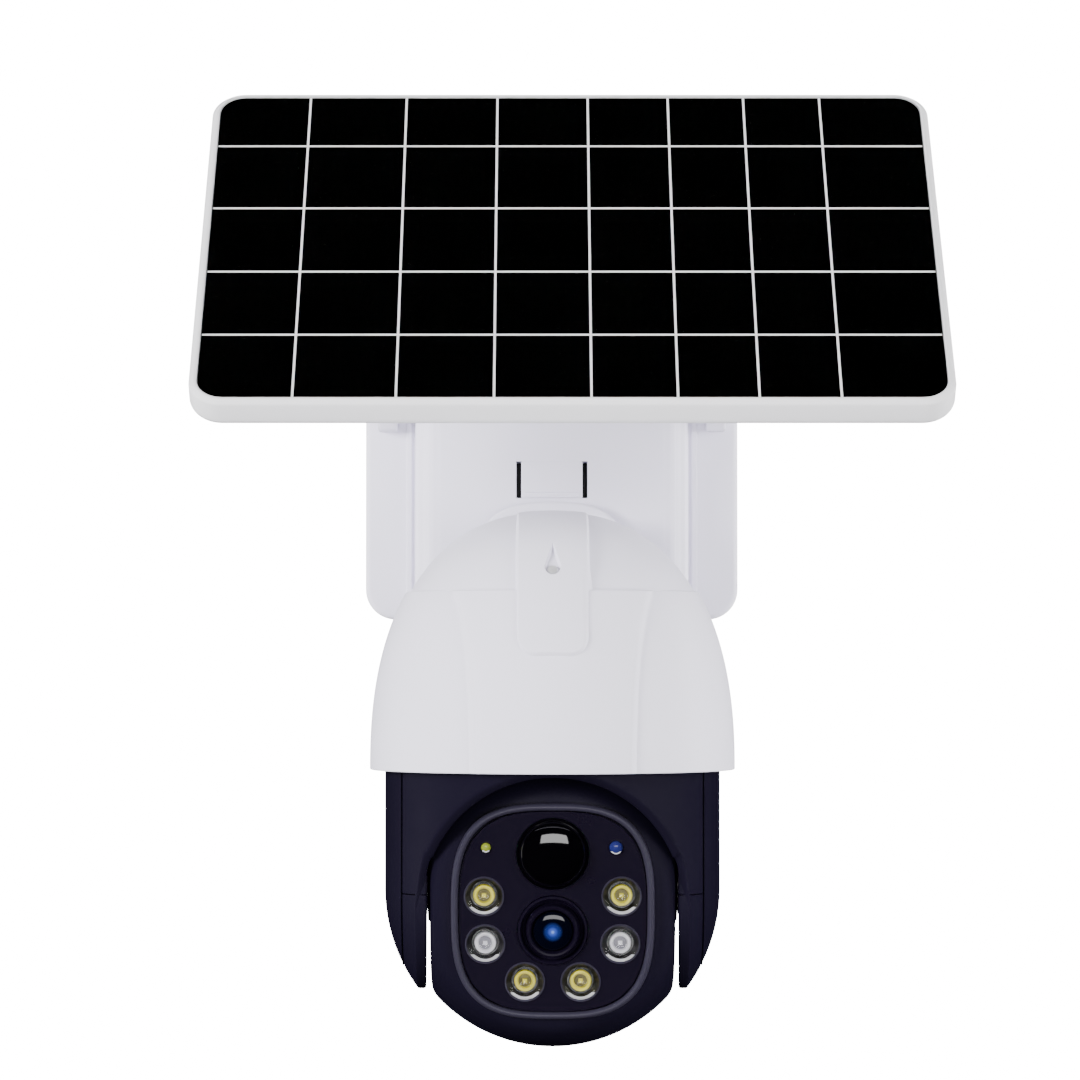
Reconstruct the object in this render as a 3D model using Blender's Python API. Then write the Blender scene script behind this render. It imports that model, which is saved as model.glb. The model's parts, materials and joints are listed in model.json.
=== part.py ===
"""Solar pan-tilt security camera for a wall, in metres, +Z up.

The origin is the centre of the wall plate's face on the wall. The camera looks along -Y.
The yoke pans about a vertical axis under the hood, the head tilts in the yoke, and the solar
panel tilts on two bracket arms.
"""
import math

import bmesh
import bpy
from mathutils import Matrix

MM = 0.001
GAP = 0.3 * MM                      # between pieces that touch
WALL = 2.2 * MM                     # wall of the moulded shells

# Battery box on the wall: |x| and |z| limits, and its steps away from the wall (-Y)
PLATE_THICK = 4.0 * MM
BOX_HALF_WIDTH = 66.5 * MM
BOX_HALF_HEIGHT = 52.15 * MM
BOX_CORNER = 10.7 * MM
BOX_BACK_Y = -PLATE_THICK - GAP
BOX_SPLIT_Y = -11.0 * MM
WING_FACE_Y = -20.0 * MM
BOX_FACE_Y = -34.0 * MM
RAISED_HALF_WIDTH = 48.5 * MM
FACE_HALF_WIDTH = 39.0 * MM
TAB_HALF_WIDTH = 10.85 * MM
TAB_SLOT = 1.75 * MM
TAB_TOP = 3.9 * MM
TAB_BOTTOM = -9.5 * MM
CELL_RADIUS = 9.2 * MM
CELL_LENGTH = 65.0 * MM

# Hood, yoke and head: heights on the pan axis
PAN_Y = -95.0 * MM
HOOD_RIM_Z = -103.4 * MM
HOOD_RADIUS = 61.8 * MM
HOOD_RISE = 88.3 * MM
HOOD_POWER = 2.35                   # exponent of the hood's side curve
HOOD_SEAM_Z = -43.0 * MM
CAP_STEP = 1.2 * MM                 # the cap stands this far inside the skirt
TONGUE_HALF_WIDTH = 12.2 * MM
TONGUE_END_Z = -65.0 * MM
TONGUE_RISE = 1.2 * MM
SCREW_Z = -36.2 * MM
BASE_TOP_Z = -77.0 * MM
BASE_THICK = 2.5 * MM
CROWN_TOP_Z = -86.7 * MM
YOKE_RADIUS = 56.7 * MM
PIVOT_Z = -143.4 * MM
HEAD_RADIUS = 53.5 * MM
HEAD_HALF_WIDTH = 40.8 * MM
HEAD_DROOP = math.radians(9)        # the face looks this far down at rest
CAVITY_RADIUS = 54.3 * MM
ARM_INNER = 42.4 * MM
HUB_BOSS_RADIUS = 11.4 * MM
ARM_WALL = 1.5 * MM
ARM_OUTER = 49.9 * MM
ARM_END_RADIUS = 34.0 * MM
ARM_SEAM_Z = PIVOT_Z - 0.4 * MM     # between each arm and the cap under its pivot
ARCH_RADIUS = 45.5 * MM
ARCH_CENTRE_Z = -150.2 * MM
ARCH_FOOT_Z = -131.5 * MM           # the arms are narrower than the drum under this
COVER_TOP_Z = -99.0 * MM

# Gear trains: pan 60 to 12 teeth, tilt 36 to 12 teeth
PAN_MODULE = 1.0 * MM
PAN_TEETH = 60
TILT_MODULE = 0.8 * MM
TILT_TEETH = 36
PINION_TEETH = 12

# Face of the head: places as (x, up) from the face's centre, on the plane at FACE_DEPTH
FACE_DEPTH = 38.0 * MM
FACE_HALF_WIDTH_RING = 33.5 * MM
FACE_HALF_HEIGHT_RING = 36.2 * MM
FACE_POWER = 3.0                    # exponent of the face's outline
RING_WIDTH = 2.3 * MM
PIR_PLACE = (0.0, 19.5 * MM)
PIR_RADIUS = 11.9 * MM
LENS_PLACE = (0.0, -6.2 * MM)
LENS_RING_RADIUS = 11.6 * MM
LENS_RADIUS = 8.1 * MM
LAMP_RADIUS = 6.3 * MM
LAMPS = {
    "lamp_cup_warm_upper_left": (-22.7 * MM, 5.2 * MM),
    "lamp_cup_warm_upper_right": (22.7 * MM, 5.2 * MM),
    "lamp_cup_white_left": (-22.3 * MM, -10.8 * MM),
    "lamp_cup_white_right": (22.3 * MM, -10.8 * MM),
    "lamp_cup_warm_lower_left": (-9.2 * MM, -23.6 * MM),
    "lamp_cup_warm_lower_right": (9.2 * MM, -23.6 * MM),
}
STATUS_PLACE = (-22.0 * MM, 21.6 * MM)
STATUS_RADIUS = 1.6 * MM
SENSOR_PLACE = (20.8 * MM, 21.6 * MM)
SENSOR_RADIUS = 2.2 * MM

# Solar panel, in the frame of its hinge: y up the slope, z out of the glass
PANEL_TILT = math.radians(45.5)
HINGE_Y = -61.5 * MM
HINGE_Z = 75.4 * MM
PANEL_HALF_WIDTH = 125.7 * MM
PANEL_HALF_LENGTH = 81.4 * MM
PANEL_THICK = 10.8 * MM
PANEL_X = 6.4 * MM                  # the panel hangs a little to one side of the camera
PANEL_Y = -26.4 * MM
PANEL_UNDERSIDE = 16.2 * MM
PANEL_CORNER = 11.5 * MM
PANEL_RIM = 2.7 * MM
PANEL_BACK_RIM = 1.5 * MM            # the rim is narrower along the top edge
JUNCTION_Y = -58.0 * MM
BRACKET_INNER = 54.8 * MM
BRACKET_OUTER = 62.0 * MM
LUG_INNER = 47.3 * MM
LUG_OUTER = 54.5 * MM
BOLT_RADIUS = 2.5 * MM

COLOURS = {                         # name: colour, roughness, metallic
    "white_plastic": ((0.80, 0.80, 0.83), 0.35, 0.0),
    "black_plastic": ((0.012, 0.011, 0.018), 0.30, 0.0),
    "grey_trim": ((0.09, 0.09, 0.10), 0.35, 0.0),
    "panel_cells": ((0.004, 0.004, 0.006), 0.25, 0.0),
    "clear_glass": ((0.9, 0.93, 0.95), 0.05, 0.0),
    "dark_lens": ((0.005, 0.005, 0.008), 0.08, 0.0),
    "steel": ((0.60, 0.60, 0.62), 0.30, 1.0),
    "lamp_reflector": ((0.70, 0.70, 0.70), 0.15, 1.0),
    "circuit_board": ((0.02, 0.16, 0.07), 0.55, 0.0),
    "gear_plastic": ((0.85, 0.83, 0.76), 0.45, 0.0),
    "cell_wrap": ((0.05, 0.22, 0.45), 0.40, 0.0),
    "status_green": ((0.45, 0.60, 0.08), 0.20, 0.0),
    "sensor_blue": ((0.05, 0.06, 0.30), 0.15, 0.0),
    "rubber": ((0.03, 0.03, 0.03), 0.80, 0.0),
}
materials = {}


def clear_scene():
    for old in list(bpy.data.objects):
        bpy.data.objects.remove(old, do_unlink=True)


def material(name):
    """The Principled material of that name, made once."""
    if name not in materials:
        colour, roughness, metallic = COLOURS[name]
        made = bpy.data.materials.new(name)
        made.use_nodes = True
        shader = made.node_tree.nodes["Principled BSDF"]
        shader.inputs["Base Color"].default_value = (*colour, 1.0)
        shader.inputs["Roughness"].default_value = roughness
        shader.inputs["Metallic"].default_value = metallic
        materials[name] = made
    return materials[name]


def axis_empty(name, place, tilt=0.0, parent=None):
    """An empty on a joint's axis, turned about X by the tilt."""
    empty = bpy.data.objects.new(name, None)
    bpy.context.collection.objects.link(empty)
    empty.location = place
    empty.rotation_euler = (tilt, 0.0, 0.0)
    empty.parent = parent
    return empty


def solid(name, mesh, paint=None, parent=None, place=(0, 0, 0), turn=(0, 0, 0)):
    """An object from a bmesh; one without a paint is a cutter or a shape to be joined."""
    data = bpy.data.meshes.new(name)
    bmesh.ops.recalc_face_normals(mesh, faces=mesh.faces)
    mesh.to_mesh(data)
    mesh.free()
    made = bpy.data.objects.new(name, data)
    bpy.context.collection.objects.link(made)
    made.location = place
    made.rotation_euler = turn
    made.parent = parent
    if paint:
        data.materials.append(material(paint))
        data.shade_smooth()
        data.set_sharp_from_angle(angle=math.radians(35))
    else:
        made.hide_render = True
        made.display_type = "WIRE"
    return made


def combine(target, operation, *tools):
    """Boolean modifiers that join, cut or cross the target with each tool."""
    for tool in tools:
        step = target.modifiers.new(operation.lower(), "BOOLEAN")
        step.operation = operation
        step.solver = "EXACT"
        step.object = tool
    return target


def arc(centre, radius, start, end, steps):
    """Points on an arc, angles in degrees."""
    angles = (math.radians(start + (end - start) * i / steps) for i in range(steps + 1))
    return [(centre[0] + radius * math.cos(a), centre[1] + radius * math.sin(a)) for a in angles]


def rounded(half_width, half_height, radius, steps=6, centre=(0.0, 0.0)):
    """Outline of a rectangle with round corners."""
    points = []
    for corner, (sx, sy) in enumerate(((1, 1), (-1, 1), (-1, -1), (1, -1))):
        middle = (centre[0] + sx * (half_width - radius), centre[1] + sy * (half_height - radius))
        points += arc(middle, radius, 90 * corner, 90 * corner + 90, steps)
    return points


# How a flat outline (u, v) and a height h become x, y, z for each direction of extrusion
ALONG = {
    "x": lambda u, v, h: (h, u, v),
    "y": lambda u, v, h: (u, h, v),
    "z": lambda u, v, h: (u, v, h),
}


def prism(outline, low, high, along="z"):
    """An outline pushed from low to high along an axis."""
    mesh = bmesh.new()
    place = ALONG[along]
    floor = mesh.faces.new([mesh.verts.new(place(u, v, low)) for u, v in outline])
    top = bmesh.ops.extrude_face_region(mesh, geom=[floor], use_keep_orig=True)
    moved = [item for item in top["geom"] if isinstance(item, bmesh.types.BMVert)]
    offset = place(0, 0, high - low)
    bmesh.ops.translate(mesh, verts=moved, vec=offset)
    return mesh


def block(low, high):
    """A box between two corners."""
    outline = [(low[0], low[1]), (high[0], low[1]), (high[0], high[1]), (low[0], high[1])]
    return prism(outline, low[2], high[2])


TURN_TO = {
    "z": Matrix.Identity(4),
    "x": Matrix.Rotation(math.radians(90), 4, "Y"),
    "-y": Matrix.Rotation(math.radians(90), 4, "X"),
}


def turned(profile, steps, axis="z", closed=False):
    """A profile of (radius, height) points spun about an axis; closed makes a ring."""
    mesh = bmesh.new()
    verts = [mesh.verts.new((radius, 0.0, height)) for radius, height in profile]
    pairs = list(zip(verts, verts[1:]))
    if closed:
        pairs.append((verts[-1], verts[0]))
    edges = [mesh.edges.new(pair) for pair in pairs]
    bmesh.ops.spin(
        mesh, geom=verts + edges, cent=(0, 0, 0), axis=(0, 0, 1),
        angle=2 * math.pi, steps=steps, use_merge=True,
    )
    bmesh.ops.remove_doubles(mesh, verts=mesh.verts, dist=1e-6)
    bmesh.ops.transform(mesh, matrix=TURN_TO[axis], verts=mesh.verts)
    return mesh


def rod(radius, low, high, steps=24, axis="z"):
    """A plain turned rod from low to high."""
    return turned([(0, high), (radius, high), (radius, low), (0, low)], steps, axis)


def ring(inner, outer, low, high, steps=32, axis="z"):
    """A plain turned ring."""
    profile = [(inner, high), (outer, high), (outer, low), (inner, low)]
    return turned(profile, steps, axis, closed=True)


def gear(teeth, module, low, high, phase=0.0, along="z"):
    """A spur gear: straight-sided teeth, narrowed a little so that a meshed pair runs free."""
    pitch = teeth * module / 2
    outline = []
    for tooth in range(teeth):
        middle = 2 * math.pi * (tooth + phase) / teeth
        for share, radius in ((-0.29, -1.1), (-0.12, 0.8), (0.12, 0.8), (0.29, -1.1)):
            angle = middle + share * 2 * math.pi / teeth
            reach = pitch + radius * module
            outline.append((reach * math.cos(angle), reach * math.sin(angle)))
    return prism(outline, low, high, along)


# ---------------------------------------------------------------- battery box on the wall

def raised_outline(inset):
    """Plan (x, y) of the raised middle of the box, its sides rounded over, moved in by the inset."""
    side = RAISED_HALF_WIDTH - inset
    front = BOX_FACE_Y + inset
    flat = FACE_HALF_WIDTH - inset * 0.4
    depth = 9.0 * MM
    right = [(side, BOX_SPLIT_Y - 2.0 * MM)]
    for step in range(6):
        angle = math.radians(90 * step / 5)
        x = flat + (side - flat) * math.cos(angle)
        right.append((x, front + depth * (1 - math.sin(angle))))
    return right + [(-x, y) for x, y in reversed(right)]


def wall_plate():
    plate = solid("wall_plate", prism(rounded(46 * MM, 42 * MM, 6 * MM), -PLATE_THICK, 0, "y"), "steel")
    for x in (-36 * MM, 36 * MM):
        for z in (-32 * MM, 32 * MM):
            hole = solid("screw_hole", rod(2.4 * MM, -1 * MM, 5 * MM, 16, "-y"), place=(x, 0, z))
            combine(plate, "DIFFERENCE", hole)


def battery_box():
    inner = (BOX_HALF_WIDTH - WALL, BOX_HALF_HEIGHT - WALL, BOX_CORNER - WALL)
    outer = rounded(BOX_HALF_WIDTH, BOX_HALF_HEIGHT, BOX_CORNER)
    back = solid("box_back", prism(outer, BOX_SPLIT_Y, BOX_BACK_Y, "y"), "white_plastic")
    hollow = prism(rounded(*inner), BOX_SPLIT_Y - 1 * MM, BOX_BACK_Y - WALL, "y")
    combine(back, "DIFFERENCE", solid("back_hollow", hollow))

    front = solid("box_front", prism(outer, WING_FACE_Y, BOX_SPLIT_Y - GAP, "y"), "white_plastic")
    height = BOX_HALF_HEIGHT - 0.4 * MM
    raised = solid("raised", prism(raised_outline(0), -height, height))
    height -= WALL
    space = solid("raised_space", prism(raised_outline(WALL), -height, height))
    wings = prism(rounded(*inner), WING_FACE_Y + WALL, BOX_SPLIT_Y + 1 * MM, "y")
    combine(front, "UNION", raised)
    combine(front, "DIFFERENCE", solid("wing_space", wings), space)
    side = TAB_HALF_WIDTH + TAB_SLOT
    window = block((-side, BOX_FACE_Y - 1 * MM, TAB_BOTTOM), (side, BOX_FACE_Y + 4 * MM, TAB_TOP))
    combine(front, "DIFFERENCE", solid("tab_window", window))
    for name, x, radius in (("button_hole", 20 * MM, 4.3 * MM), ("port_hole", -20 * MM, 4.3 * MM)):
        hole = rod(radius, -BOX_HALF_HEIGHT - 1 * MM, -height + 1 * MM, 20)
        combine(front, "DIFFERENCE", solid(name, hole, place=(x, -26 * MM, 0)))


def release_tab():
    """The tab bends in at its lower end; its hinge line is its top edge."""
    low = (-TAB_HALF_WIDTH, 0, TAB_BOTTOM - TAB_TOP + GAP)
    tab = solid(
        "release_tab", block(low, (TAB_HALF_WIDTH, 2 * MM, -GAP)), "white_plastic",
        place=(0, BOX_FACE_Y, TAB_TOP),
    )
    lip = block((-9 * MM, -0.7 * MM, low[2] + 0.6 * MM), (9 * MM, 0.5 * MM, low[2] + 2.4 * MM))
    combine(tab, "UNION", solid("tab_lip", lip, place=(0, BOX_FACE_Y, TAB_TOP)))


def battery_contents():
    for count in range(4):
        cap = 0.62 * CELL_RADIUS
        profile = [
            (0, CELL_LENGTH), (0.35 * CELL_RADIUS, CELL_LENGTH), (0.35 * CELL_RADIUS, CELL_LENGTH - 1 * MM),
            (cap, CELL_LENGTH - 1 * MM), (CELL_RADIUS, CELL_LENGTH - 2 * MM), (CELL_RADIUS, 0), (0, 0),
        ]
        x = (count - 1.5) * 20 * MM
        solid("battery_cell_%d" % (count + 1), turned(profile, 20), "cell_wrap",
              place=(x, -16.5 * MM, -46 * MM))
    board = solid("charge_board", block((-38 * MM, -10.6 * MM, 24 * MM), (38 * MM, -9 * MM, 46 * MM)),
                  "circuit_board")
    for x, width, height in ((-24, 12, 10), (0, 9, 9), (20, 16, 7)):
        chip = block((x * MM, -13 * MM, 30 * MM), ((x + width) * MM, -10 * MM, (30 + height) * MM))
        combine(board, "UNION", solid("chip", chip))


def box_controls():
    bottom = -BOX_HALF_HEIGHT
    profile = [(0, 4.6 * MM), (5.5 * MM, 4.6 * MM), (5.5 * MM, 3.0 * MM), (4 * MM, 3.0 * MM),
               (4 * MM, -0.6 * MM), (3.4 * MM, -1.2 * MM), (0, -1.2 * MM)]
    solid("power_button", turned(profile, 20), "grey_trim", place=(20 * MM, -26 * MM, bottom))
    profile = [(0, 2 * MM), (4 * MM, 2 * MM), (4 * MM, -GAP), (5.6 * MM, -GAP), (5.2 * MM, -1.5 * MM),
               (0, -1.5 * MM)]
    solid("charge_port_plug", turned(profile, 20), "rubber", place=(-20 * MM, -26 * MM, bottom + 0.1 * MM))


# ---------------------------------------------------------------- hood

def hood_curve(height, shrink=0.0):
    """Radius of the hood's side at a height: a superellipse in the upright plane."""
    share = min(max((height - HOOD_RIM_Z) / (HOOD_RISE - shrink), 0.0), 1.0)
    return (HOOD_RADIUS - shrink) * (1 - share ** HOOD_POWER) ** (1 / HOOD_POWER)


def hood_side(low, high, shrink, steps):
    """(radius, height) points up the side; close to the top they crowd towards the apex."""
    apex = HOOD_RIM_Z + HOOD_RISE - shrink
    points = []
    for step in range(steps + 1):
        share = step / steps
        height = low + (high - low) * (1 - (1 - share) ** 1.6 if high >= apex else share)
        points.append((hood_curve(height, shrink), height))
    return points


def hood_body(low, shrink, steps=8):
    """The solid under the hood's curve, from a flat floor to the apex."""
    apex = HOOD_RIM_Z + HOOD_RISE - shrink
    side = hood_side(low, apex, shrink, steps)
    side[-1] = (0, apex)
    return turned([(0, low)] + side, 40)


def hood_skirt():
    top = HOOD_SEAM_Z - GAP
    outer = hood_side(HOOD_RIM_Z, top, 0, 6)
    inner = hood_side(HOOD_RIM_Z, top, WALL, 6)
    profile = list(reversed(outer)) + inner
    solid("hood_skirt", turned(profile, 40, closed=True), "white_plastic", place=(0, PAN_Y, 0))


def hood_cap():
    """Cap, tongue and hollow neck in one piece, over the skirt."""
    centre = (0, PAN_Y, 0)
    cap = solid("hood_cap", hood_body(HOOD_SEAM_Z, CAP_STEP), "white_plastic", place=centre)
    tongue = solid("tongue", hood_body(TONGUE_END_Z, -TONGUE_RISE), place=centre)
    keep = block((-TONGUE_HALF_WIDTH, -80 * MM, -90 * MM), (TONGUE_HALF_WIDTH, 10 * MM, 10 * MM))
    combine(tongue, "INTERSECT", solid("tongue_keep", keep, place=centre))
    under = solid("tongue_under", hood_body(TONGUE_END_Z - 5 * MM, -GAP), place=centre)
    below = block((-80 * MM, -80 * MM, -120 * MM), (80 * MM, 80 * MM, HOOD_SEAM_Z))
    combine(under, "INTERSECT", solid("below_seam", below, place=centre))
    neck_end = BOX_FACE_Y - 5.3 * MM
    neck = prism(rounded(20.5 * MM, 13.2 * MM, 8 * MM, centre=(0, -29.5 * MM)), -78 * MM, neck_end, "y")
    inside = rounded(17 * MM, 9.7 * MM, 5 * MM, centre=(0, -29.5 * MM))
    tube = prism(inside, -95 * MM, neck_end + 5 * MM, "y")
    combine(cap, "UNION", tongue, solid("neck", neck))
    inside = solid("cap_inside", hood_body(HOOD_SEAM_Z - 8 * MM, CAP_STEP + WALL), place=centre)
    combine(cap, "DIFFERENCE", under, inside, solid("neck_tube", tube))
    hood_screw(cap)


def hood_screw(cap):
    """A pan-head screw in a round recess high on the tongue, square to its surface."""
    radius = hood_curve(SCREW_Z, -TONGUE_RISE)
    out = radius ** (HOOD_POWER - 1) / HOOD_RADIUS ** HOOD_POWER
    up = (SCREW_Z - HOOD_RIM_Z) ** (HOOD_POWER - 1) / HOOD_RISE ** HOOD_POWER
    lean = math.atan2(up, out)
    place = (0, PAN_Y - radius, SCREW_Z)
    turn = (math.radians(90) - lean, 0, 0)
    combine(cap, "DIFFERENCE",
            solid("screw_recess", rod(2.6 * MM, -1.7 * MM, 3 * MM, 16), place=place, turn=turn),
            solid("screw_way", rod(1.5 * MM, -9 * MM, 1 * MM, 12), place=place, turn=turn))
    profile = [(0, -0.3 * MM), (1.5 * MM, -0.5 * MM), (2.2 * MM, -1.4 * MM), (1.2 * MM, -1.4 * MM),
               (1.2 * MM, -7 * MM), (0, -7.6 * MM)]
    solid("hood_screw", turned(profile, 16), "steel", place=place, turn=turn)


def neck_collar():
    plate = rounded(26 * MM, 19.7 * MM, 12 * MM, 7, centre=(0, -30.3 * MM))
    collar = solid("neck_collar", prism(plate, BOX_FACE_Y - 5 * MM, BOX_FACE_Y - GAP, "y"), "white_plastic")
    hole = prism(rounded(15 * MM, 8 * MM, 5 * MM, centre=(0, -29.5 * MM)), -45 * MM, -30 * MM, "y")
    combine(collar, "DIFFERENCE", solid("collar_hole", hole))


def hood_contents():
    centre = (0, PAN_Y, 0)
    floor = BASE_TOP_Z - BASE_THICK
    base = solid("base_plate", ring(12.3 * MM, 57.4 * MM, floor, BASE_TOP_Z, 36), "black_plastic",
                 place=centre)
    reach = PAN_MODULE * (PAN_TEETH + PINION_TEETH) / 2
    motor_place = (0, PAN_Y + reach, 0)
    combine(base, "DIFFERENCE",
            solid("pinion_way", rod(2.6 * MM, floor - 1 * MM, BASE_TOP_Z + 1 * MM), place=motor_place))
    solid("pan_bearing", ring(8.3 * MM, 12.0 * MM, floor, BASE_TOP_Z + 0.5 * MM), "steel", place=centre)
    low = BASE_TOP_Z + GAP
    motor = solid("pan_motor", rod(14 * MM, low, low + 17 * MM, 28), "steel", place=motor_place)
    plug = block((-7 * MM, -17 * MM, low + 2 * MM), (7 * MM, -10 * MM, low + 15 * MM))
    combine(motor, "UNION", solid("motor_plug", plug, place=motor_place))
    board = solid("main_board", rod(45 * MM, -56 * MM, -54.4 * MM, 40), "circuit_board", place=centre)
    for x, y, side, height in ((-14, -12, 14, 3), (12, -20, 10, 2.5), (8, 12, 16, 5), (-24, 14, 9, 2)):
        chip = block((x * MM, y * MM, -55 * MM), ((x + side) * MM, (y + side) * MM, (height - 54.4) * MM))
        combine(board, "UNION", solid("chip", chip, place=centre))


# ---------------------------------------------------------------- yoke, on the pan axis

def yoke_body(radius, steps=40):
    """A drum down to the pivot's height and half a ball below it."""
    profile = [(0, CROWN_TOP_Z), (radius - 3 * MM, CROWN_TOP_Z), (radius, CROWN_TOP_Z - 3 * MM)]
    for step in range(11):
        angle = math.radians(90 * step / 10)
        profile.append((radius * math.cos(angle), PIVOT_Z - radius * math.sin(angle)))
    profile[-1] = (0, PIVOT_Z - radius)
    return turned(profile, steps)


def arch_cutter():
    """What is open between the arms, seen from the front: a round arch on straight sides."""
    side = ARM_INNER
    start = math.degrees(math.acos(side / ARCH_RADIUS))
    outline = [(side, -230 * MM)]
    outline += arc((0, ARCH_CENTRE_Z), ARCH_RADIUS, start, 180 - start, 14)
    outline.append((-side, -230 * MM))
    return prism(outline, -80 * MM, 80 * MM, "y")


def arm_tip(pan):
    """The arms are flat in front and behind and round about the pivot: this cuts off the rest."""
    drum = block((-70 * MM, -70 * MM, -230 * MM), (70 * MM, 70 * MM, ARCH_FOOT_Z))
    drum = solid("arm_tip", drum, parent=pan)
    reach = ARM_END_RADIUS
    top = ARCH_FOOT_Z + 5 * MM
    outline = arc((0, PIVOT_Z), reach, 180, 360, 20) + [(reach, top), (-reach, top)]
    keep = solid("arm_keep", prism(outline, -75 * MM, 75 * MM, "x"), parent=pan)
    return combine(drum, "DIFFERENCE", keep)


def arm_pockets(pan):
    """Space in the left arm for the tilt gears and motor, and in the right arm for the shaft."""
    inner = ARM_INNER + ARM_WALL
    pockets = (
        ("gear_pocket", 16 * MM, -60 * MM, -inner, PIVOT_Z),
        ("motor_pocket", 11.6 * MM, -60 * MM, -inner, PIVOT_Z + tilt_reach()),
        ("shaft_pocket", 10 * MM, inner, 60 * MM, PIVOT_Z),
        ("bush_hole", 9.3 * MM, -48 * MM, 48 * MM, PIVOT_Z),
    )
    return [solid(name, rod(radius, low, high, 28, "x"), parent=pan, place=(0, 0, height))
            for name, radius, low, high, height in pockets]


def tilt_reach():
    return TILT_MODULE * (TILT_TEETH + PINION_TEETH) / 2


def yoke(pan):
    """Crown, aprons and the upper half of each arm, with a cap under each pivot."""
    ball = solid("cavity", ball_mesh(CAVITY_RADIUS, 36, 18), parent=pan, place=(0, 0, PIVOT_Z))
    side = ARM_INNER - 0.05 * MM
    slab = block((-side, -80 * MM, -240 * MM), (side, 80 * MM, -60 * MM))
    combine(ball, "INTERSECT", solid("cavity_slab", slab, parent=pan))
    arch = solid("arch", arch_cutter(), parent=pan)
    tip = arm_tip(pan)
    pockets = arm_pockets(pan)
    outside = [
        solid("outside_" + side, block((low, -80 * MM, -240 * MM), (high, 80 * MM, COVER_TOP_Z + GAP)),
              parent=pan)
        for side, low, high in (("left", -80 * MM, -ARM_OUTER), ("right", ARM_OUTER, 80 * MM))
    ]
    shaft = solid("pan_shaft", rod(8.0 * MM, CROWN_TOP_Z - 1 * MM, BASE_TOP_Z + 3 * MM, 28), parent=pan)
    wire_way = solid("wire_way", rod(5.0 * MM, -100 * MM, -60 * MM, 20), parent=pan)
    lower = block((-80 * MM, -80 * MM, -240 * MM), (80 * MM, 80 * MM, ARM_SEAM_Z))
    lower = solid("yoke_lower", lower, parent=pan)

    body = solid("yoke", yoke_body(YOKE_RADIUS), "black_plastic", pan)
    combine(body, "UNION", shaft)
    combine(body, "DIFFERENCE", lower, arch, ball, wire_way, tip, *outside, *pockets)
    for side, low, high in (("left", -ARM_OUTER, -ARM_INNER), ("right", ARM_INNER, ARM_OUTER)):
        cap = solid("arm_cap_" + side, yoke_body(YOKE_RADIUS), "black_plastic", pan)
        zone = block((low, -80 * MM, -240 * MM), (high, 80 * MM, ARM_SEAM_Z - GAP))
        combine(cap, "INTERSECT", solid("cap_zone_" + side, zone, parent=pan))
        combine(cap, "DIFFERENCE", tip, *pockets)


def ball_mesh(radius, steps, rows):
    """A ball turned about Z."""
    points = []
    for row in range(rows + 1):
        angle = math.radians(90 - 180 * row / rows)
        points.append((max(radius * math.cos(angle), 0.0), radius * math.sin(angle)))
    points[0] = (0, radius)
    points[-1] = (0, -radius)
    return turned(points, steps)


def arm_covers(pan):
    for side, sign in (("left", -1), ("right", 1)):
        cover = solid("arm_cover_" + side, yoke_body(YOKE_RADIUS), "black_plastic", pan)
        hollow = solid("cover_hollow_" + side, yoke_body(YOKE_RADIUS - 1.8 * MM, steps=32), parent=pan)
        near, far = sorted((sign * (ARM_OUTER + GAP), sign * 80 * MM))
        zone = block((near, -80 * MM, -240 * MM), (far, 80 * MM, COVER_TOP_Z))
        keep = block((-80 * MM, -80 * MM, -240 * MM), (80 * MM, 80 * MM, COVER_TOP_Z - 1.8 * MM))
        combine(hollow, "INTERSECT", solid("hollow_keep_" + side, keep, parent=pan))
        combine(cover, "INTERSECT", solid("cover_zone_" + side, zone, parent=pan))
        combine(cover, "DIFFERENCE", hollow)


def yoke_drives(pan):
    mesh = gear(PAN_TEETH, PAN_MODULE, CROWN_TOP_Z + GAP, -81.2 * MM)
    wheel = solid("pan_gear", mesh, "gear_plastic", pan)
    bore = solid("gear_bore", rod(8.3 * MM, CROWN_TOP_Z - 2 * MM, -75 * MM, 28), parent=pan)
    combine(wheel, "DIFFERENCE", bore)
    inner = ARM_INNER
    for side, sign in (("left", -1), ("right", 1)):
        low, high = sorted((sign * inner, sign * (inner + ARM_WALL)))
        solid("tilt_bush_" + side, ring(7.3 * MM, 9.0 * MM, low, high, 28, "x"), "steel", pan,
              place=(0, 0, PIVOT_Z))
    solid("tilt_motor", rod(11 * MM, -53.0 * MM, -47.5 * MM, 24, "x"), "steel", pan,
          place=(0, 0, PIVOT_Z + tilt_reach()))


def pinions(pan):
    reach = PAN_MODULE * (PAN_TEETH + PINION_TEETH) / 2
    mesh = gear(PINION_TEETH, PAN_MODULE, CROWN_TOP_Z + 0.5 * MM, -81.0 * MM, phase=0.5)
    pinion = solid("pan_pinion", mesh, "gear_plastic", pan, place=(0, reach, 0))
    shaft = rod(2.0 * MM, -82 * MM, BASE_TOP_Z, 16)
    combine(pinion, "UNION", solid("pinion_shaft", shaft, parent=pan, place=(0, reach, 0)))
    place = (0, 0, PIVOT_Z + tilt_reach())
    mesh = gear(PINION_TEETH, TILT_MODULE, -46.8 * MM, -44.4 * MM, phase=0.5, along="x")
    pinion = solid("tilt_pinion", mesh, "gear_plastic", pan, place=place)
    shaft = rod(1.5 * MM, -47.2 * MM, -45 * MM, 12, "x")
    combine(pinion, "UNION", solid("tilt_pinion_shaft", shaft, parent=pan, place=place))


# ---------------------------------------------------------------- head, on the tilt axis

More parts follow.
